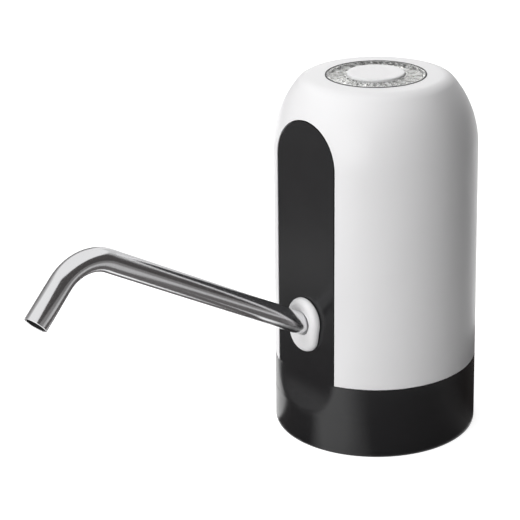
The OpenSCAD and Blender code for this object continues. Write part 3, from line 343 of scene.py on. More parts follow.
def prism(outline, start, end):
    """A throwaway cutter: an (x, z) outline drawn out along Y."""
    count = len(outline)
    verts = [(x, start, z) for x, z in outline] + [(x, end, z) for x, z in outline]
    faces = [tuple(range(count)), tuple(range(2 * count - 1, count - 1, -1))]
    faces += [(i, (i + 1) % count, count + (i + 1) % count, count + i) for i in range(count)]
    cutter = bpy.data.objects.new("cutter", closed_mesh("cutter", verts, faces))
    scene.collection.objects.link(cutter)
    return cutter


print("cutting helpers ready")

# %% [markdown]
# ## Sizes read from the frame
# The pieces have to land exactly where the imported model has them, so the heights and radii are read
# from its boxes. Only what a box can't tell, such as a wall or a fillet, is written here.

# %% Sizes
shell_low, shell_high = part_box("upper_shell")
base_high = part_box("base_housing")[1]
seam_z = shell_low.z
top_z = shell_high.z
base_r = base_high.x
draft = math.tan(math.radians(0.5))
shell_wall = 2.2 * MM
window_half = 15.0 * MM
panel_gap = 0.45 * MM
panel_half = window_half - panel_gap
arch_z = top_z - 25.2 * MM
shoulder_r = 36.0 * MM
shoulder_deg = 40.0
crown_r = 5.8 * MM
shoulder_sin = math.sin(math.radians(shoulder_deg))
shoulder_z = top_z - crown_r * (1 - shoulder_sin) - shoulder_r * shoulder_sin
gasket_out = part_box("ring_gasket")[1].x
outlet_z = next(j["pos_m"][2] for j in frame["joints"] if j["name"] == "spout_swivel")


def wall_r(z):
    """Radius of the drafted side wall."""
    return base_r - z * draft


shoulder_x = wall_r(shoulder_z) - shoulder_r
crown_x = shoulder_x + (shoulder_r - crown_r) * math.cos(math.radians(shoulder_deg))
crown_z = shoulder_z + (shoulder_r - crown_r) * shoulder_sin
panel_depth = math.sqrt(base_r ** 2 - window_half ** 2)


def panel_y(z):
    """Place of the panel's face, which is drafted like the wall."""
    return -(panel_depth - z * draft)


print("seam", round(seam_z / MM, 2), "top", round(top_z / MM, 2), "radius", round(base_r / MM, 2))

# %% [markdown]
# ## Upper shell
# The white shell is one moulding with an arched window. A boolean would cut the window, but its edge
# would then wander across the grid. Instead each level of the wall starts at one side of the window
# and runs round to the other, so the window's edge is a clean line of the mesh and takes a bevel.

# %% Upper shell outline
edge_soft = 0.45 * MM
window_levels = 24
wall_levels = 10
lip_steps = 4
shell_columns = 160


def shell_r(z, inset):
    """Radius of the shell's outside, or of its inside with the wall as inset."""
    if z <= shoulder_z:
        return wall_r(z) - inset
    reach = shoulder_r - inset
    return shoulder_x + math.sqrt(max(0.0, reach ** 2 - (z - shoulder_z) ** 2))


def window_at(z, half=None):
    """Half width of the window at a height, nothing above its arch."""
    half = half or window_half
    if z <= arch_z:
        return half
    return math.sqrt(max(0.0, half ** 2 - (z - arch_z) ** 2))


def shell_outline():
    """The shell's section from the outer foot over the top to the inner foot."""
    lip = 0.5 * MM
    levels = [seam_z + lip + (arch_z - seam_z - lip) * i / wall_levels for i in range(wall_levels)]
    rise = [math.pi / 2 * i / window_levels for i in range(window_levels + 1)]
    levels += [arch_z + window_half * math.sin(a) for a in rise]
    foot = wall_r(seam_z)
    outer = [(foot - lip * (1 - math.sin(a)), seam_z + lip * (1 - math.cos(a)))
             for a in (math.pi / 2 * k / lip_steps for k in range(lip_steps))]
    outer += [(shell_r(z, 0.0), z) for z in levels]
    apex = math.degrees(math.asin((levels[-1] - shoulder_z) / shoulder_r))
    outer += arc((shoulder_x, shoulder_z), shoulder_r, apex, shoulder_deg, 6)[1:]
    outer += arc((crown_x, crown_z), crown_r, shoulder_deg, 90, 12)[1:]
    rim = 0.25 * MM
    outer += arc((gasket_out + rim, top_z - rim), rim, 90, 180, 4)
    inner = [(gasket_out, top_z - shell_wall)]
    inner += arc((crown_x, crown_z), crown_r - shell_wall, 90, shoulder_deg, 8)
    inner_apex = math.degrees(math.asin((levels[-1] - shoulder_z) / (shoulder_r - shell_wall)))
    inner += arc((shoulder_x, shoulder_z), shoulder_r - shell_wall, shoulder_deg, inner_apex, 6)[1:-1]
    inner += [(shell_r(z, shell_wall), z) for z in reversed(levels)]
    inner += [(foot - shell_wall, seam_z)]
    return outer, inner


print("shell wall", round(shell_wall / MM, 2), "with", window_levels, "levels in the arch")

# %% [markdown]
# The mesh joins the levels into one skin, outside and inside. Where the window is open, its two sides are
# closed by faces between the outer and the inner skin.

# %% Upper shell
def upper_shell():
    """The shell's vertices and faces."""
    outer, inner = shell_outline()
    section = outer + inner
    verts, rows = [], []
    for r, z in section:
        gap = math.asin(min(1.0, window_at(z) / r)) if z < arch_z + window_half - same_point else 0.0
        row = []
        for j in range(shell_columns + 1):
            a = gap + (2 * math.pi - 2 * gap) * j / shell_columns
            row.append(len(verts))
            verts.append((r * math.sin(a), -r * math.cos(a), z))
        rows.append((row, gap))
    faces = []
    for i, (row, gap) in enumerate(rows):
        after = rows[(i + 1) % len(rows)][0]
        for j in range(shell_columns):
            faces.append((row[j], row[j + 1], after[j + 1], after[j]))
    opened = [i for i, (row, gap) in enumerate(rows) if gap > 0]
    climb = [i for i in opened if i < len(outer)]
    fall = [i for i in opened if i >= len(outer)]
    climb.append(climb[-1] + 1)
    fall.insert(0, fall[0] - 1)
    fall.reverse()
    spare = len(climb) - len(fall)
    for column in (0, shell_columns):
        foot = [rows[i][0][column] for i in climb[:spare + 1]] + [rows[fall[0]][0][column]]
        faces.append(tuple(foot))
        for k in range(len(fall) - 1):
            low, high = climb[spare + k], climb[spare + k + 1]
            faces.append((rows[low][0][column], rows[high][0][column],
                          rows[fall[k + 1]][0][column], rows[fall[k]][0][column]))
    return verts, faces


verts, faces = upper_shell()
shell = piece("shell", verts, faces, "housing", "white_gloss", ["upper_shell"], edge_soft, 50)

# %% [markdown]
# The charging socket sits at the back, behind a slot with round ends.

# %% Charging slot
port_low, port_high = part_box("usb_shell")
port_gap = 0.2 * MM
port_half = (port_high.x - port_low.x) / 2 + port_gap
port_r = (port_high.z - port_low.z) / 2 + port_gap
port_z = (port_high.z + port_low.z) / 2
slot_ends = arc((port_half - port_r, port_z), port_r, -90, 90, 12)
slot_ends += arc((port_r - port_half, port_z), port_r, 90, 270, 12)
cut(shell, [prism(slot_ends, base_r / 2, base_r * 1.1)])
print("charging slot", round(2 * port_half / MM, 1), "wide")

# %% [markdown]
# ## Base and front panel
# The black base is one moulding: a skirt, a flat panel that fills the window, and a scoop that leads
# from the panel down to the rim. On the real one the scoop ends in a soft crease. So each level takes
# the nearer of the round wall and the flat front, and a smooth minimum rounds the corner where they
# meet. Extra columns follow the crease down, so the soft edge stays even.

# %% Base levels
scoop_r = 26.0 * MM
skirt_wall = 2.2 * MM
panel_wall = 2.8 * MM
crease_soft = 1.5 * MM
crease_steps = [-2.0, -1.4, -0.9, -0.5, -0.2, 0.2, 0.5, 0.9, 1.4, 2.0]
crease_room = 3 * MM
least_crease = 0.02
flat_reach = 0.2
front_columns = 24
side_columns = 120
skirt_foot = 2 * MM
skirt_levels = 40
panel_levels = 12


def front_y(z):
    """Place of the front face: the scoop below the seam and the panel above it."""
    if z >= seam_z:
        return panel_y(z)
    reach = math.sqrt(max(0.0, scoop_r ** 2 - (seam_z - z) ** 2))
    return panel_y(seam_z) - scoop_r + reach


def nearer(a, b, soft):
    """The smaller of two values, rounded where they cross."""
    blend = max(soft - abs(a - b), 0.0) / soft
    return min(a, b) - blend * blend * soft / 4


def crease_at(z):
    """Bearing from the front at which the flat face meets the round wall."""
    return math.acos(min(1.0, -front_y(z) / wall_r(z)))


def base_row(z, inset):
    """A level of the base from one side of the crease across the front and round the back."""
    radius = wall_r(z)
    crease = max(crease_at(z), least_crease)
    shrink = min(1.0, crease * radius / crease_room)
    edge = [crease + step * MM * shrink / radius for step in crease_steps]
    front = [edge[0] * (2 * i / front_columns - 1) for i in range(1, front_columns)]
    back = [edge[-1] + (2 * math.pi - 2 * edge[-1]) * i / side_columns for i in range(1, side_columns)]
    turns = [-a for a in reversed(edge)] + front + edge + back
    row = []
    for a in turns:
        face = -front_y(z) / math.cos(a) if math.cos(a) > flat_reach else 2 * radius
        reach = nearer(radius, face, crease_soft) - inset
        row.append((reach * math.sin(a), -reach * math.cos(a), z))
    return row


def base_rows(inset):
    """Levels of the skirt's outside, or of its inside when drawn in by the wall."""
    rim = 0.4 * MM
    levels = [0.0, rim * 0.3, rim, skirt_foot]
    levels += [skirt_foot + (seam_z - skirt_foot) * (i / skirt_levels)
               for i in range(1, skirt_levels + 1)]
    rows = []
    for z in levels:
        tuck = rim * (1 - math.sqrt(1 - (1 - z / rim) ** 2)) if z < rim and inset == 0 else 0.0
        rows.append(base_row(z, inset + tuck))
    return rows


def panel_rows(inset):
    """Levels of the panel above the seam, up to the top of its arch."""
    rise = [math.pi / 2 * i / window_levels for i in range(window_levels + 1)]
    foot = seam_z + 0.3 * MM
    levels = [foot + (arch_z - foot) * i / panel_levels for i in range(panel_levels)]
    levels += [arch_z + panel_half * math.sin(a) for a in rise]
    rows = []
    for z in levels:
        half = window_at(z, panel_half)
        rows.append([(half * share, panel_y(z) + inset, z) for share in shares])
    return rows


print("scoop radius", round(scoop_r / MM, 1))

# %% [markdown]
# The skirt and the panel share the columns of the seam, so they join without a step. The same levels
# drawn in by the wall give the inside, and the two skins are closed along their free edges.

# %% Base skin
def sheet_faces(rows, first, wrap):
    """Quads between the levels of a skin."""
    faces = []
    width = len(rows[0])
    for i in range(len(rows) - 1):
        for j in range(width if wrap else width - 1):
            n = (j + 1) % width
            a, b = first + i * width, first + (i + 1) * width
            faces.append((a + j, a + n, b + n, b + j))
    return faces


def thicken(outer, inner, faces):
    """Closes two skins of the same layout along their free edges."""
    count = len(outer)
    uses = {}
    for face in faces:
        for a, b in zip(face, face[1:] + face[:1]):
            uses.setdefault(frozenset((a, b)), []).append((a, b))
    closed = faces + [tuple(count + i for i in reversed(face)) for face in faces]
    for pair in uses.values():
        if len(pair) == 1:
            a, b = pair[0]
            closed.append((b, a, count + a, count + b))
    return outer + inner, closed


skirt = base_rows(0.0)
panel_start = len(crease_steps) // 2
panel_end = len(crease_steps) * 2 + front_columns - 1 - panel_start
seam_row = skirt[-1]
seam_half = seam_row[panel_end - 1][0]
shares = [p[0] / seam_half for p in seam_row[panel_start:panel_end]]
panel = panel_rows(0.0)
outer = [p for row in skirt + panel for p in row]
inner = [p for row in base_rows(skirt_wall) + panel_rows(panel_wall) for p in row]
ring_width = len(seam_row)
panel_first = len(skirt) * ring_width
seam_first = panel_first - ring_width + panel_start
faces = sheet_faces(skirt, 0, True) + sheet_faces(panel, panel_first, False)
faces += [(seam_first + j, seam_first + j + 1, panel_first + j + 1, panel_first + j)
          for j in range(len(shares) - 1)]
verts, faces = thicken(outer, inner, faces)
base = piece("base", verts, faces, "housing", "black_satin", ["base_housing"], 0.35 * MM, 40)
plug_hole = 6.2 * MM
hole_sides = 48
last_side = 360 * (hole_sides - 1) / hole_sides
hole = arc((0.0, outlet_z), plug_hole, 0, last_side, hole_sides - 1)
cut(base, [prism(hole, -base_r, -base_r / 2)])

# %% [markdown]
# Seen from below, the base holds a socket for the jug's neck inside the skirt, with ribs across the
# groove between them and a deck on top. The socket, deck and spigot are one spun outline, and the ribs
# are a loop of thin plates.

# %% Base socket
neck_r = next(m["dims"]["r_mm"] for m in record["mounts"] if m["name"] == "jug_neck_socket") * MM
sleeve_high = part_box("neck_sleeve")[1]
lip_t = 1.2 * MM
socket_in = neck_r + 1.45 * MM
socket_out = socket_in + 1.2 * MM
skirt_in = base_r - skirt_wall
nut_low, nut_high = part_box("inlet_nut")
deck_bot = nut_high.z
deck_top = deck_bot + 2.5 * MM
spigot_top = deck_top + 5 * MM
spigot_out = wall_r(spigot_top) - shell_wall - 0.05 * MM
spigot_in = spigot_out - 1.5 * MM
ledge_z = seam_z - 2 * MM
thread_hole = 4.55 * MM
fine = 0.3 * MM
socket_outline = rounded([
    (socket_in, lip_t, fine), (socket_in, deck_bot, 0), (thread_hole, deck_bot, 0),
    (thread_hole, deck_top, 0), (spigot_in, deck_top, 0), (spigot_in, spigot_top, fine),
    (spigot_out, spigot_top, fine), (spigot_out, seam_z, 0), (skirt_in + fine, seam_z, 0),
    (skirt_in + fine, ledge_z, 0), (spigot_in, ledge_z, 0), (spigot_in, deck_bot, 0),
    (socket_out, deck_bot, 0), (socket_out, lip_t, fine),
])


def behind_front(point):
    """A point of the inside, kept behind the flat front."""
    x, y, z = point
    return x, max(y, front_y(z) + skirt_wall / 2), z


verts, faces = spin(socket_outline)
verts = [behind_front(v) for v in verts]
piece("base_socket", verts, faces, "housing", "black_satin")

# %% Base ribs
rib_count = 12
rib_t = 1.4 * MM
verts, faces = [], []
for i in range(rib_count):
    turn = Matrix.Rotation(2 * math.pi * (i + 0.5) / rib_count, 3, "Z")
    corners = [(x, y, z) for z in (lip_t, ledge_z + fine) for y in (-rib_t / 2, rib_t / 2)
               for x in (socket_out - fine, skirt_in + fine)]
    n = len(verts)
    verts += [behind_front(turn @ Vector(c)) for c in corners]
    faces += [tuple(n + k for k in f) for f in (
        (0, 1, 3, 2), (4, 6, 7, 5), (0, 4, 5, 1), (2, 3, 7, 6), (0, 2, 6, 4), (1, 5, 7, 3))]
piece("base_ribs", verts, faces, "housing", "black_satin", soften=0.2 * MM)

# %% [markdown]
# ## Neck sleeve and intake
# The rubber sleeve grips the jug, so its bore carries shallow moulded grooves. The intake spigot is a
# turned fitting held by a hexagonal nut. All three show when the pump is turned over.

# %% Neck sleeve
sleeve_out = neck_r + 1.4 * MM
lip_r = sleeve_high.x
groove_count = 6
groove_depth = 0.35 * MM
groove_half = 0.5 * MM
bore = [(neck_r, sleeve_high.z, 0.4 * MM)]
for k in range(groove_count):
    z = sleeve_high.z * (1 - (k + 1) / (groove_count + 1))
    bore += [(neck_r, z + groove_half, 0.1 * MM), (neck_r + groove_depth, z, 0.2 * MM),
             (neck_r, z - groove_half, 0.1 * MM)]
bore += [(neck_r, 0.0, 0.5 * MM)]
outline = [(lip_r, 0.0, 0.4 * MM), (lip_r, lip_t, 0.3 * MM), (sleeve_out, lip_t, 0),
           (sleeve_out, sleeve_high.z, 0.3 * MM)]
verts, faces = spin(rounded(outline + bore))
piece("sleeve", verts, faces, "housing", "dark_rubber", ["neck_sleeve"])

# %% Intake fitting
fitting_low, fitting_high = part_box("inlet_fitting")
intake_r, thread_r, nozzle_r = 4.0 * MM, 4.5 * MM, 2.5 * MM
intake_bore, passage_r = 2.6 * MM, 1.5 * MM
flange_r, flange_t = thread_r + 2 * MM, 1.2 * MM
outline = rounded([
    (intake_bore, fitting_low.z, fine), (intake_bore, deck_bot, 0), (passage_r, deck_bot, 0),
    (passage_r, fitting_high.z, 0), (nozzle_r, fitting_high.z, fine),
    (nozzle_r, deck_top + flange_t, 0), (flange_r, deck_top + flange_t, fine),
    (flange_r, deck_top, 0), (thread_r, deck_top, 0), (thread_r, nut_low.z, fine),
    (intake_r, nut_low.z, 0), (intake_r, fitting_low.z, 0.5 * MM),
])
verts, faces = spin(outline, 72)
piece("fitting", verts, faces, "housing", "white_satin", ["inlet_fitting"])

# %% [markdown]
# ## Button
# The button is a white cap that stands a little proud inside the light ring, with a shallow dish on top.
# Its stem reaches down to the switch.

# %% Button
button_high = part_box("button_cap")[1]
button_r = 10.25 * MM
button_flange = button_high.x
floor_t = 1.6 * MM
stem_r = 2.5 * MM
flange_top = top_z - 3.45 * MM
cap_z = button_high.z
flange_low = flange_top - floor_t
skirt_r = button_r - 1.4 * MM
stem_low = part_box("switch_plunger")[1].z
dish = 0.12 * MM
dish_r, dish_edge_r = button_r * 0.55, button_r * 0.8
outline = rounded([
    (0.0, cap_z - dish, 0), (dish_r, cap_z - dish, 2 * MM), (dish_edge_r, cap_z, 2 * MM),
    (button_r, cap_z, 0.7 * MM), (button_r, flange_top, 0), (button_flange, flange_top, fine),
    (button_flange, flange_low, fine), (skirt_r, flange_low, fine),
    (skirt_r, cap_z - floor_t, 0), (stem_r, cap_z - floor_t, 0), (stem_r, stem_low, fine),
    (0.0, stem_low, 0),
], 6)
verts, faces = spin(outline)
piece("button", verts, faces, "button", "white_gloss", ["button_cap"])

# %% [markdown]
# ## Light ring and gasket
# The clear ring glows when the pump runs, and its top is cut in two rows of small facets, which break the
# light into grey streaks. The facets are real geometry: every other spoke of the ring is let down. Below
# them the ring is backed in turn by a bright metal and by white, facet by facet: a white backing is real,
# but the alternation paints the grey streaks into the facets. A thin dark gasket lies round the ring, a
# little proud of the shell.

# %% Light ring
ring_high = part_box("light_ring")[1]
facet_count = 44
facet_drop = 0.55 * MM
ring_r = 17.2 * MM
ring_in = button_r + 0.2 * MM
ring_bot = top_z - 3.4 * MM
ring_flange_r = ring_high.x
ring_flange_top = top_z - shell_wall - 0.05 * MM
ring_flange_low = ring_flange_top - 1.6 * MM
ring_hollow_r = button_flange + 1 * MM
facet_rows = [ring_in + 0.5 * MM, (ring_in + ring_r) / 2, ring_r - 0.7 * MM]


def ring_section(step):
    """The ring's section at a spoke, where the facets are let down in turn."""
    inner_drop = facet_drop if step % 2 else 0.0
    outer_drop = facet_drop - inner_drop
    middle = facet_rows[1]
    return [
        (ring_in, ring_bot), (ring_in, top_z), (facet_rows[0], top_z),
        (facet_rows[0] + fine, top_z - inner_drop), (middle - fine, top_z - outer_drop),
        (middle + fine, top_z - inner_drop), (facet_rows[2] - fine, top_z - outer_drop),
        (facet_rows[2], top_z), (ring_r, top_z), (ring_r, ring_flange_top),
        (ring_flange_r, ring_flange_top), (ring_flange_r, ring_flange_low),
        (ring_hollow_r, ring_flange_low), (ring_hollow_r, ring_bot),
    ]


verts, faces = spin_sections([ring_section(j) for j in range(2 * facet_count)])
ring = piece("ring", verts, faces, "housing", "clear_ring", ["light_ring"], angle=12)
# Downward faces under the facets alternate bright metal and white, facet by facet: painted streaks of light and
# shade in the ring.
facing_down = -0.9
for under in ("nickel", "white_satin"):
    ring.data.materials.append(finishes[under])
for face in ring.data.polygons:
    if face.normal.z < facing_down:
        turn = math.atan2(face.center.y, face.center.x) / (2 * math.pi)
        face.material_index = 1 + math.floor(turn * facet_count) % 2

# %% Gasket
gasket_low, gasket_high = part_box("ring_gasket")
gasket_in = ring_r + 0.05 * MM
gasket_top = top_z + 0.18 * MM
thin = 0.12 * MM
verts, faces = spin(rounded([
    (gasket_in, gasket_low.z, 0), (gasket_high.x, gasket_low.z, 0),
    (gasket_high.x, gasket_top, thin), (gasket_in, gasket_top, thin)]))
piece("gasket", verts, faces, "housing", "dark_rubber", ["ring_gasket"])

# %% [markdown]
# ## Spout
# The spout is a thin steel tube with two bends. A bevelled curve would give the outside only, so the
# tube is swept ring by ring: out along the outer skin, round the cut end, and back along the bore.
# Only the outside is polished, so the bore is rough, and its near-black colour is painted shade for the
# inside of the tube. The cut end slants a little, which lets the painted-dark opening show.

# %% Spout path
tube_r = 4.0 * MM
tube_wall = 0.6 * MM
rise_deg = 29.5
foot_bend_r = 10.0 * MM
tube_run = 87.8 * MM
tip_bend_r = 15.0 * MM
tip_bend_deg = 77.0
tip_len = 15.0 * MM
tip_slant = (0.14, 0.10)
tube_sides = 64
bend_steps = 20
tube_root = -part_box("spout_tube")[1].y
foot_y = -next(j["pos_m"][1] for j in frame["joints"] if j["name"] == "spout_swivel")


def spout_path():
    """Centre line of the tube as (outward, height, angle) from root to tip."""
    rise = math.radians(rise_deg)
    foot = foot_bend_r * math.tan(rise / 2)
    path = [(tube_root, outlet_z, 0.0)]
    reach, height, angle = foot_y - foot, outlet_z, 0.0
    for radius, sweep, after in ((foot_bend_r, rise, tube_run),
                                 (tip_bend_r, -math.radians(tip_bend_deg), tip_len)):
        for k in range(bend_steps + 1):
            a = angle + sweep * k / bend_steps
            way = math.copysign(radius, sweep)
            path.append((reach + way * (math.sin(a) - math.sin(angle)),
                         height - way * (math.cos(a) - math.cos(angle)), a))
        reach, height, angle = path[-1]
        reach += after * math.cos(angle)
        height += after * math.sin(angle)
    path.append((reach, height, angle))
    return path


def tube_ring(centre, radius, ahead=0.0, slant=(0.0, 0.0)):
    """A ring of points square to the path, or slanted by a share of its width and height."""
    out, up, a = centre
    points = []
    for k in range(tube_sides):
        t = 2 * math.pi * k / tube_sides
        across = radius * math.cos(t)
        rise = radius * math.sin(t)
        on = ahead - slant[0] * across - slant[1] * rise
        points.append((across, -(out + on * math.cos(a) - rise * math.sin(a)),
                       up + on * math.sin(a) + rise * math.cos(a)))
    return points


path = spout_path()
tip = path[-1]
runs = [0.0]
for (u0, v0, _), (u1, v1, _) in zip(path, path[1:]):
    runs.append(runs[-1] + math.hypot(u1 - u0, v1 - v0))
print("spout path", len(path), "points over", round(runs[-1] / MM, 1), "mm")

# %% [markdown]
# The rings of points are joined in order. Each point also keeps how far along the tube it lies, so that
# the polish can follow the bends.

# %% Spout tube
lip = 0.18 * MM
tube_in = tube_r - tube_wall
rings = [tube_ring(p, tube_r) for p in path[:-1]]
for radius, ahead in ((tube_r, -lip), (tube_r - lip * 0.3, -lip * 0.3), (tube_r - lip, 0.0),
                      (tube_in + lip, 0.0), (tube_in + lip * 0.3, -lip * 0.3), (tube_in, -lip)):
    rings.append(tube_ring(tip, radius, ahead, tip_slant))
rings += [tube_ring(p, tube_in) for p in reversed(path[:-1])]
verts = [p for ring_points in rings for p in ring_points]
faces = hoop_faces(len(rings), tube_sides)
spout = piece("spout", verts, faces, "spout", "spout_steel", ["spout_tube"], angle=50)
lay = spout.data.attributes.new("lay", "FLOAT_VECTOR", "POINT")
for i in range(len(rings)):
    step = min(i, len(rings) - 1 - i)
    for k in range(tube_sides):
        t = 2 * math.pi * k / tube_sides
        around = (tube_r * math.cos(t), tube_r * math.sin(t))
        lay.data[i * tube_sides + k].vector = (*around, runs[min(step, len(runs) - 1)])
# The bore takes the near-black finish: painted shade inside the tube.
spout.data.materials.append(finishes["spout_bore"])
bore_first = len(rings) - len(path)
for face in spout.data.polygons:
    if min(v // tube_sides for v in face.vertices) >= bore_first:
        face.material_index = 1

# %% [markdown]
# ## Collar
# The egg-shaped collar closes the hole in the panel, and its plug slides into a socket behind. The
# egg is two arcs joined by straight flanks. Drawing it in by a quarter turn gives a soft front edge,
# and the mouth of the tube is the same loop of points pulled to a circle.

# %% Collar outline
collar_low, collar_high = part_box("spout_collar")
plug_end = collar_high.y
collar_front = collar_low.y
collar_t = 2.6 * MM
collar_back = collar_front + collar_t
egg_top_r = collar_high.x
egg_low_r = 7.0 * MM
collar_up, collar_down = 8.8 * MM, 11.2 * MM
egg_up = collar_up - egg_top_r
egg_down = collar_down - egg_low_r
plug_r = 6.0 * MM
bore_r = tube_r + 0.04 * MM
mouth_r = 4.45 * MM
groove_w = 1.0 * MM
groove_back, groove_front = plug_end - 3 * groove_w, plug_end - 4.3 * groove_w
edge_steps, rim_steps = 10, 4


def egg(inset):
    """The collar's outline drawn in by an inset, centred on the tube."""
    lean = math.degrees(math.asin((egg_top_r - egg_low_r) / (egg_up + egg_down)))
    return (arc((0.0, egg_up), egg_top_r - inset, -lean, 180 + lean, 40)
            + arc((0.0, -egg_down), egg_low_r - inset, 180 + lean, 360 - lean, 30))


def collar_loop(points, y):
    """A loop of the collar at a depth."""
    return [(x, y, outlet_z + z) for x, z in points]


def circle_like(points, radius):
    """The same loop of points pulled to a circle about the tube."""
    return [(x * radius / math.hypot(x, z), z * radius / math.hypot(x, z)) for x, z in points]


outline = egg(0.0)
print("collar outline", len(outline), "points")

# %% Collar
edge = 2.2 * MM
edge_depth = 0.85 * collar_t
back_edge = 0.2 * MM
loops = [collar_loop(circle_like(outline, plug_r), collar_back),
         collar_loop(egg(back_edge), collar_back),
         collar_loop(outline, collar_back - back_edge)]
for k in range(edge_steps + 1):
    a = math.pi / 2 * k / edge_steps
    loops.append(collar_loop(egg(edge * (1 - math.cos(a))),
                             collar_front + edge_depth * (1 - math.sin(a))))
rim = 0.3 * MM
for k in range(rim_steps + 1):
    a = math.pi / 2 * k / rim_steps
    loops.append(collar_loop(circle_like(outline, mouth_r + rim * (1 - math.sin(a))),
                             collar_front + rim * (1 - math.cos(a))))
for radius, y in ((bore_r, collar_back), (bore_r, plug_end), (plug_r - fine, plug_end),
                  (plug_r, plug_end - fine), (plug_r, groove_back), (plug_r - groove_w, groove_back),
                  (plug_r - groove_w, groove_front), (plug_r, groove_front)):
    loops.append(collar_loop(circle_like(outline, radius), y))
verts = [p for loop in loops for p in loop]
faces = hoop_faces(len(loops), len(outline))
piece("collar", verts, faces, "spout_plug", "white_gloss", ["spout_collar"], angle=50)

# %% [markdown]
# ## Studio
# A catalogue picture like this is lit from the left, over white paper. The world and the floor show white
# to the camera, to reflections and through clear plastic, but light the object only softly, so the shell
# keeps its shape.

# %% World
def seen_directly(nodes, links):
    """1 for camera, glossy and transmission rays, else 0."""
    rays = nodes.new("ShaderNodeLightPath")
    total = rays.outputs["Is Camera Ray"]
    for name in ("Is Glossy Ray", "Is Transmission Ray"):
        both = nodes.new("ShaderNodeMath")
        both.operation = "MAXIMUM"
        links.new(total, both.inputs[0])
        links.new(rays.outputs[name], both.inputs[1])
        total = both.outputs["Value"]
    return total


def show_apart(nodes, links, lighting, shown, output):
    """Joins two shaders: one that lights the scene, and one that is seen directly."""
    mix = nodes.new("ShaderNodeMixShader")
    links.new(seen_directly(nodes, links), mix.inputs["Fac"])
    links.new(lighting, mix.inputs[1])
    links.new(shown, mix.inputs[2])
    links.new(mix.outputs["Shader"], output.inputs["Surface"])


world = bpy.data.worlds.new("studio")
world.use_nodes = True
scene.world = world
nodes, links = world.node_tree.nodes, world.node_tree.links
ambient = nodes["Background"]
ambient.inputs["Color"].default_value = (1.0, 1.0, 1.0, 1.0)
ambient.inputs["Strength"].default_value = 0.01
seen = nodes.new("ShaderNodeBackground")
seen.inputs["Color"].default_value = (1.0, 1.0, 1.0, 1.0)
seen.inputs["Strength"].default_value = 1.0
show_apart(nodes, links, ambient.outputs["Background"], seen.outputs["Background"], nodes["World Output"])
print("world ambient", ambient.inputs["Strength"].default_value)

# %% [markdown]
# Four soft boxes light the pump: a key to the left of the camera, a large one above on the left, a weak
# one over the crown and one behind on the left. Neither the camera nor reflections see them, so the
# bands in the steel come from the world, the floor and the cards alone.

# %% Lamps
image_right = Vector((side.x, side.y, 0.0)).normalized()
to_camera = Vector((-camera_forward.x, -camera_forward.y, 0.0)).normalized()
lamp_aim = Vector((0.0, 0.0, 0.07))


def soft_box(name, away, height, distance, size, power):
    """A square lamp, placed to the image's right by away and above by height, aimed at the body."""
    place = lamp_aim + image_right * away + to_camera * distance + Vector((0.0, 0.0, height))
    lamp = bpy.data.lights.new(name, "AREA")
    lamp.shape = "SQUARE"
    lamp.size = size
    lamp.energy = power
    lit = bpy.data.objects.new(name, lamp)
    lit.location = place
    lit.rotation_euler = (lamp_aim - place).to_track_quat("-Z", "Y").to_euler()
    lit.visible_camera = False
    lit.visible_glossy = False
    scene.collection.objects.link(lit)
    print(name, tuple(round(c, 2) for c in place), power, "W")
    return lit


soft_box("key", -0.45, 0.16, 0.72, 0.45, 4.0)
soft_box("top", -0.40, 0.85, 0.10, 1.0, 6.4)
soft_box("crown", 0.10, 0.90, -0.25, 0.8, 1.5)
soft_box("rear", -0.21, 0.35, -0.77, 0.6, 3.5)

# %% [markdown]
# Polished steel shows nothing but its surroundings, so a photographer gives it dark cards to reflect.
# Tall ones stand on the right and behind on the left, and others lie on the floor and under the spout.
# Only reflections see them: they take no light away, and the camera looks through them. Each point of a
# card has a cover from 0 to 1, so that a card can thin out towards an edge and leave a soft band.

# %% Card helpers
def card(name, rows, cover):
    """A dark card that shows in reflections only, with how much each of its points covers."""
    mesh = bpy.data.meshes.new(name)
    mesh.from_pydata([p for row in rows for p in row], [], sheet_faces(rows, 0, False))
    share = mesh.attributes.new("cover", "FLOAT", "POINT")
    share.data.foreach_set("value", cover)
    mesh.materials.append(felt)
    made = bpy.data.objects.new(name, mesh)
    for ray in ("camera", "diffuse", "transmission", "volume_scatter", "shadow"):
        setattr(made, "visible_" + ray, False)
    scene.collection.objects.link(made)
    print(name, len(cover), "points")


def around_pump(bearing, distance, height):
    """A point at a bearing from the camera's side, in degrees to the image's right."""
    a = math.radians(bearing)
    return tuple(to_camera * (distance * math.cos(a)) + image_right * (distance * math.sin(a))
                 + Vector((0.0, 0.0, height)))


def between(stops, place):
    """The value at a place on straight lines between (place, value) stops."""
    for (start, low), (end, high) in zip(stops, stops[1:]):
        if place <= end:
            return low + (high - low) * (place - start) / (end - start)
    return stops[-1][1]


def round_card(name, stops, edges):
    """A card round the pump, from (bearing, cover) stops and (distance, height, share) edges.

    An edge may end in two bearings of its own, to which the first and last stops are then moved.
    """
    steps = 60
    rows, covers = [], []
    for away, height, share, *ends in edges:
        start, end = ends or (stops[0][0], stops[-1][0])
        scale = (end - start) / (stops[-1][0] - stops[0][0])
        turns = [start + (end - start) * i / steps for i in range(steps + 1)]
        rows.append([around_pump(turn, away, height) for turn in turns])
        covers += [between(stops, stops[0][0] + (turn - start) / scale) * share for turn in turns]
    card(name, rows, covers)


print("card helpers ready")

# %% [markdown]
# The cards are a dark, rough felt that thins out to nothing where its cover falls. Bearings count from
# the camera's side to the image's right. The gap between the floor cards on the left and on the right is
# what makes the soft highlight on the skirt.

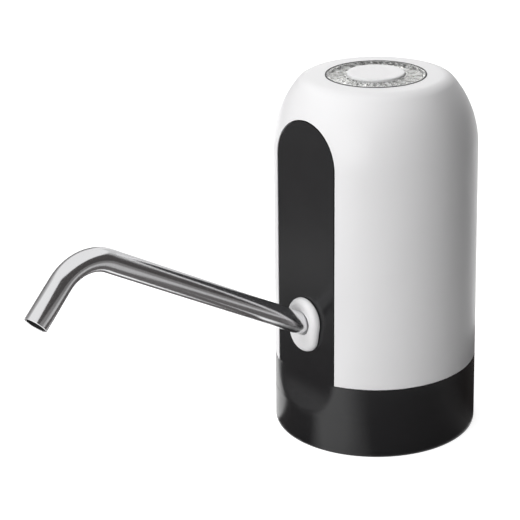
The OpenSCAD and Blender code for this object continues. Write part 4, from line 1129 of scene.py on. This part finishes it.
# %% Cards
felt = bpy.data.materials.new("felt")
felt.use_nodes = True
nodes, links = felt.node_tree.nodes, felt.node_tree.links
pile = nodes["Principled BSDF"]
pile.inputs["Base Color"].default_value = (0.058, 0.05, 0.049, 1.0)
pile.inputs["Roughness"].default_value = 0.9
thin_out = nodes.new("ShaderNodeMixShader")
cover = nodes.new("ShaderNodeAttribute")
cover.attribute_name = "cover"
links.new(cover.outputs["Fac"], thin_out.inputs["Fac"])
links.new(nodes.new("ShaderNodeBsdfTransparent").outputs["BSDF"], thin_out.inputs[1])
links.new(pile.outputs["BSDF"], thin_out.inputs[2])
links.new(thin_out.outputs["Shader"], nodes["Material Output"].inputs["Surface"])
wall_away = 0.9
low = 0.0004
near = base_r * 1.01
round_card("right_wall", [(-10, 0.96), (100, 0.96), (106, 0.6), (117, 0.58), (124, 0.28), (165, 0.28),
                          (175, 0.0)], [(wall_away, 0.0, 1.0), (wall_away, 0.8, 1.0)])
round_card("left_wall", [(-178, 0.0), (-170, 0.85), (-130, 0.85), (-112, 0.75), (-92, 0.6), (-80, 0.0)],
           [(wall_away, 0.0, 1.0), (wall_away, 0.3, 1.0), (wall_away, 0.5, 0.8), (wall_away, 0.8, 0.0)])
round_card("base_floor", [(-32, 0.0), (-12, 0.92), (45, 0.93), (62, 0.88), (85, 1.0), (150, 1.0),
                          (170, 0.0)],
           [(near, low, 1.0, -22, 170), (0.06, low, 1.0, -27, 170), (0.1, low, 1.0, -32, 170)])
round_card("right_floor", [(-32, 0.0), (-20, 0.7), (100, 0.7), (118, 0.5), (130, 0.0)],
           [(0.1, low, 0.85), (0.15, low, 0.85), (0.23, low, 1.2), (wall_away, low, 1.25)])
round_card("left_floor", [(-150, 0.0), (-142, 1.0), (-80, 1.0), (-60, 0.0)],
           [(near, low, 0.97, -84, -33), (0.06, low, 0.97, -94, -48), (0.08, low, 0.97, -102, -55),
            (0.11, low, 0.95, -112, -59), (0.16, low, 0.75, -125, -60), (0.2, low, 0.55, -135, -60),
            (0.26, low, 0.85), (0.6, low, 0.88)])
spout_card_z = 0.031
spout_cover = 0.92
spout_card_rows = ((0.001, 0.012, -0.05), (0.002, 0.044, -0.095), (0.002, 0.056, -0.130))
under_spout = [[(x, y, spout_card_z) for x in (start, end)] for start, end, y in spout_card_rows]
card("spout_card", under_spout, [spout_cover] * (2 * len(spout_card_rows)))

# %% [markdown]
# The floor is a sheet of paper whose lit colour and own glow add up to white. The lamps reach only its
# middle, so the glow rises with the distance, and the object's shadow stays where the lamps do reach.

# %% Floor
floor_half = 3.0
mesh = bpy.data.meshes.new("floor")
mesh.from_pydata([(-floor_half, -floor_half, 0.0), (floor_half, -floor_half, 0.0),
                  (floor_half, floor_half, 0.0), (-floor_half, floor_half, 0.0)], [], [(0, 1, 2, 3)])
floor = bpy.data.objects.new("floor", mesh)
paper = bpy.data.materials.new("paper")
paper.use_nodes = True
nodes, links = paper.node_tree.nodes, paper.node_tree.links
sheet = nodes["Principled BSDF"]
sheet.inputs["Base Color"].default_value = (0.6, 0.6, 0.6, 1.0)
sheet.inputs["Roughness"].default_value = 0.9
glow = nodes.new("ShaderNodeEmission")
away = nodes.new("ShaderNodeVectorMath")
away.operation = "LENGTH"
links.new(nodes.new("ShaderNodeTexCoord").outputs["Object"], away.inputs[0])
fade = nodes.new("ShaderNodeMapRange")
for socket, value in (("From Min", 0.4), ("From Max", 1.4), ("To Min", 0.84), ("To Max", 1.0)):
    fade.inputs[socket].default_value = value
links.new(away.outputs["Value"], fade.inputs["Value"])
links.new(fade.outputs["Result"], glow.inputs["Strength"])
lift = nodes.new("ShaderNodeAddShader")
links.new(sheet.outputs["BSDF"], lift.inputs[0])
links.new(glow.outputs["Emission"], lift.inputs[1])
show_apart(nodes, links, sheet.outputs["BSDF"], lift.outputs["Shader"], nodes["Material Output"])
mesh.materials.append(paper)
scene.collection.objects.link(floor)
print("floor ready")
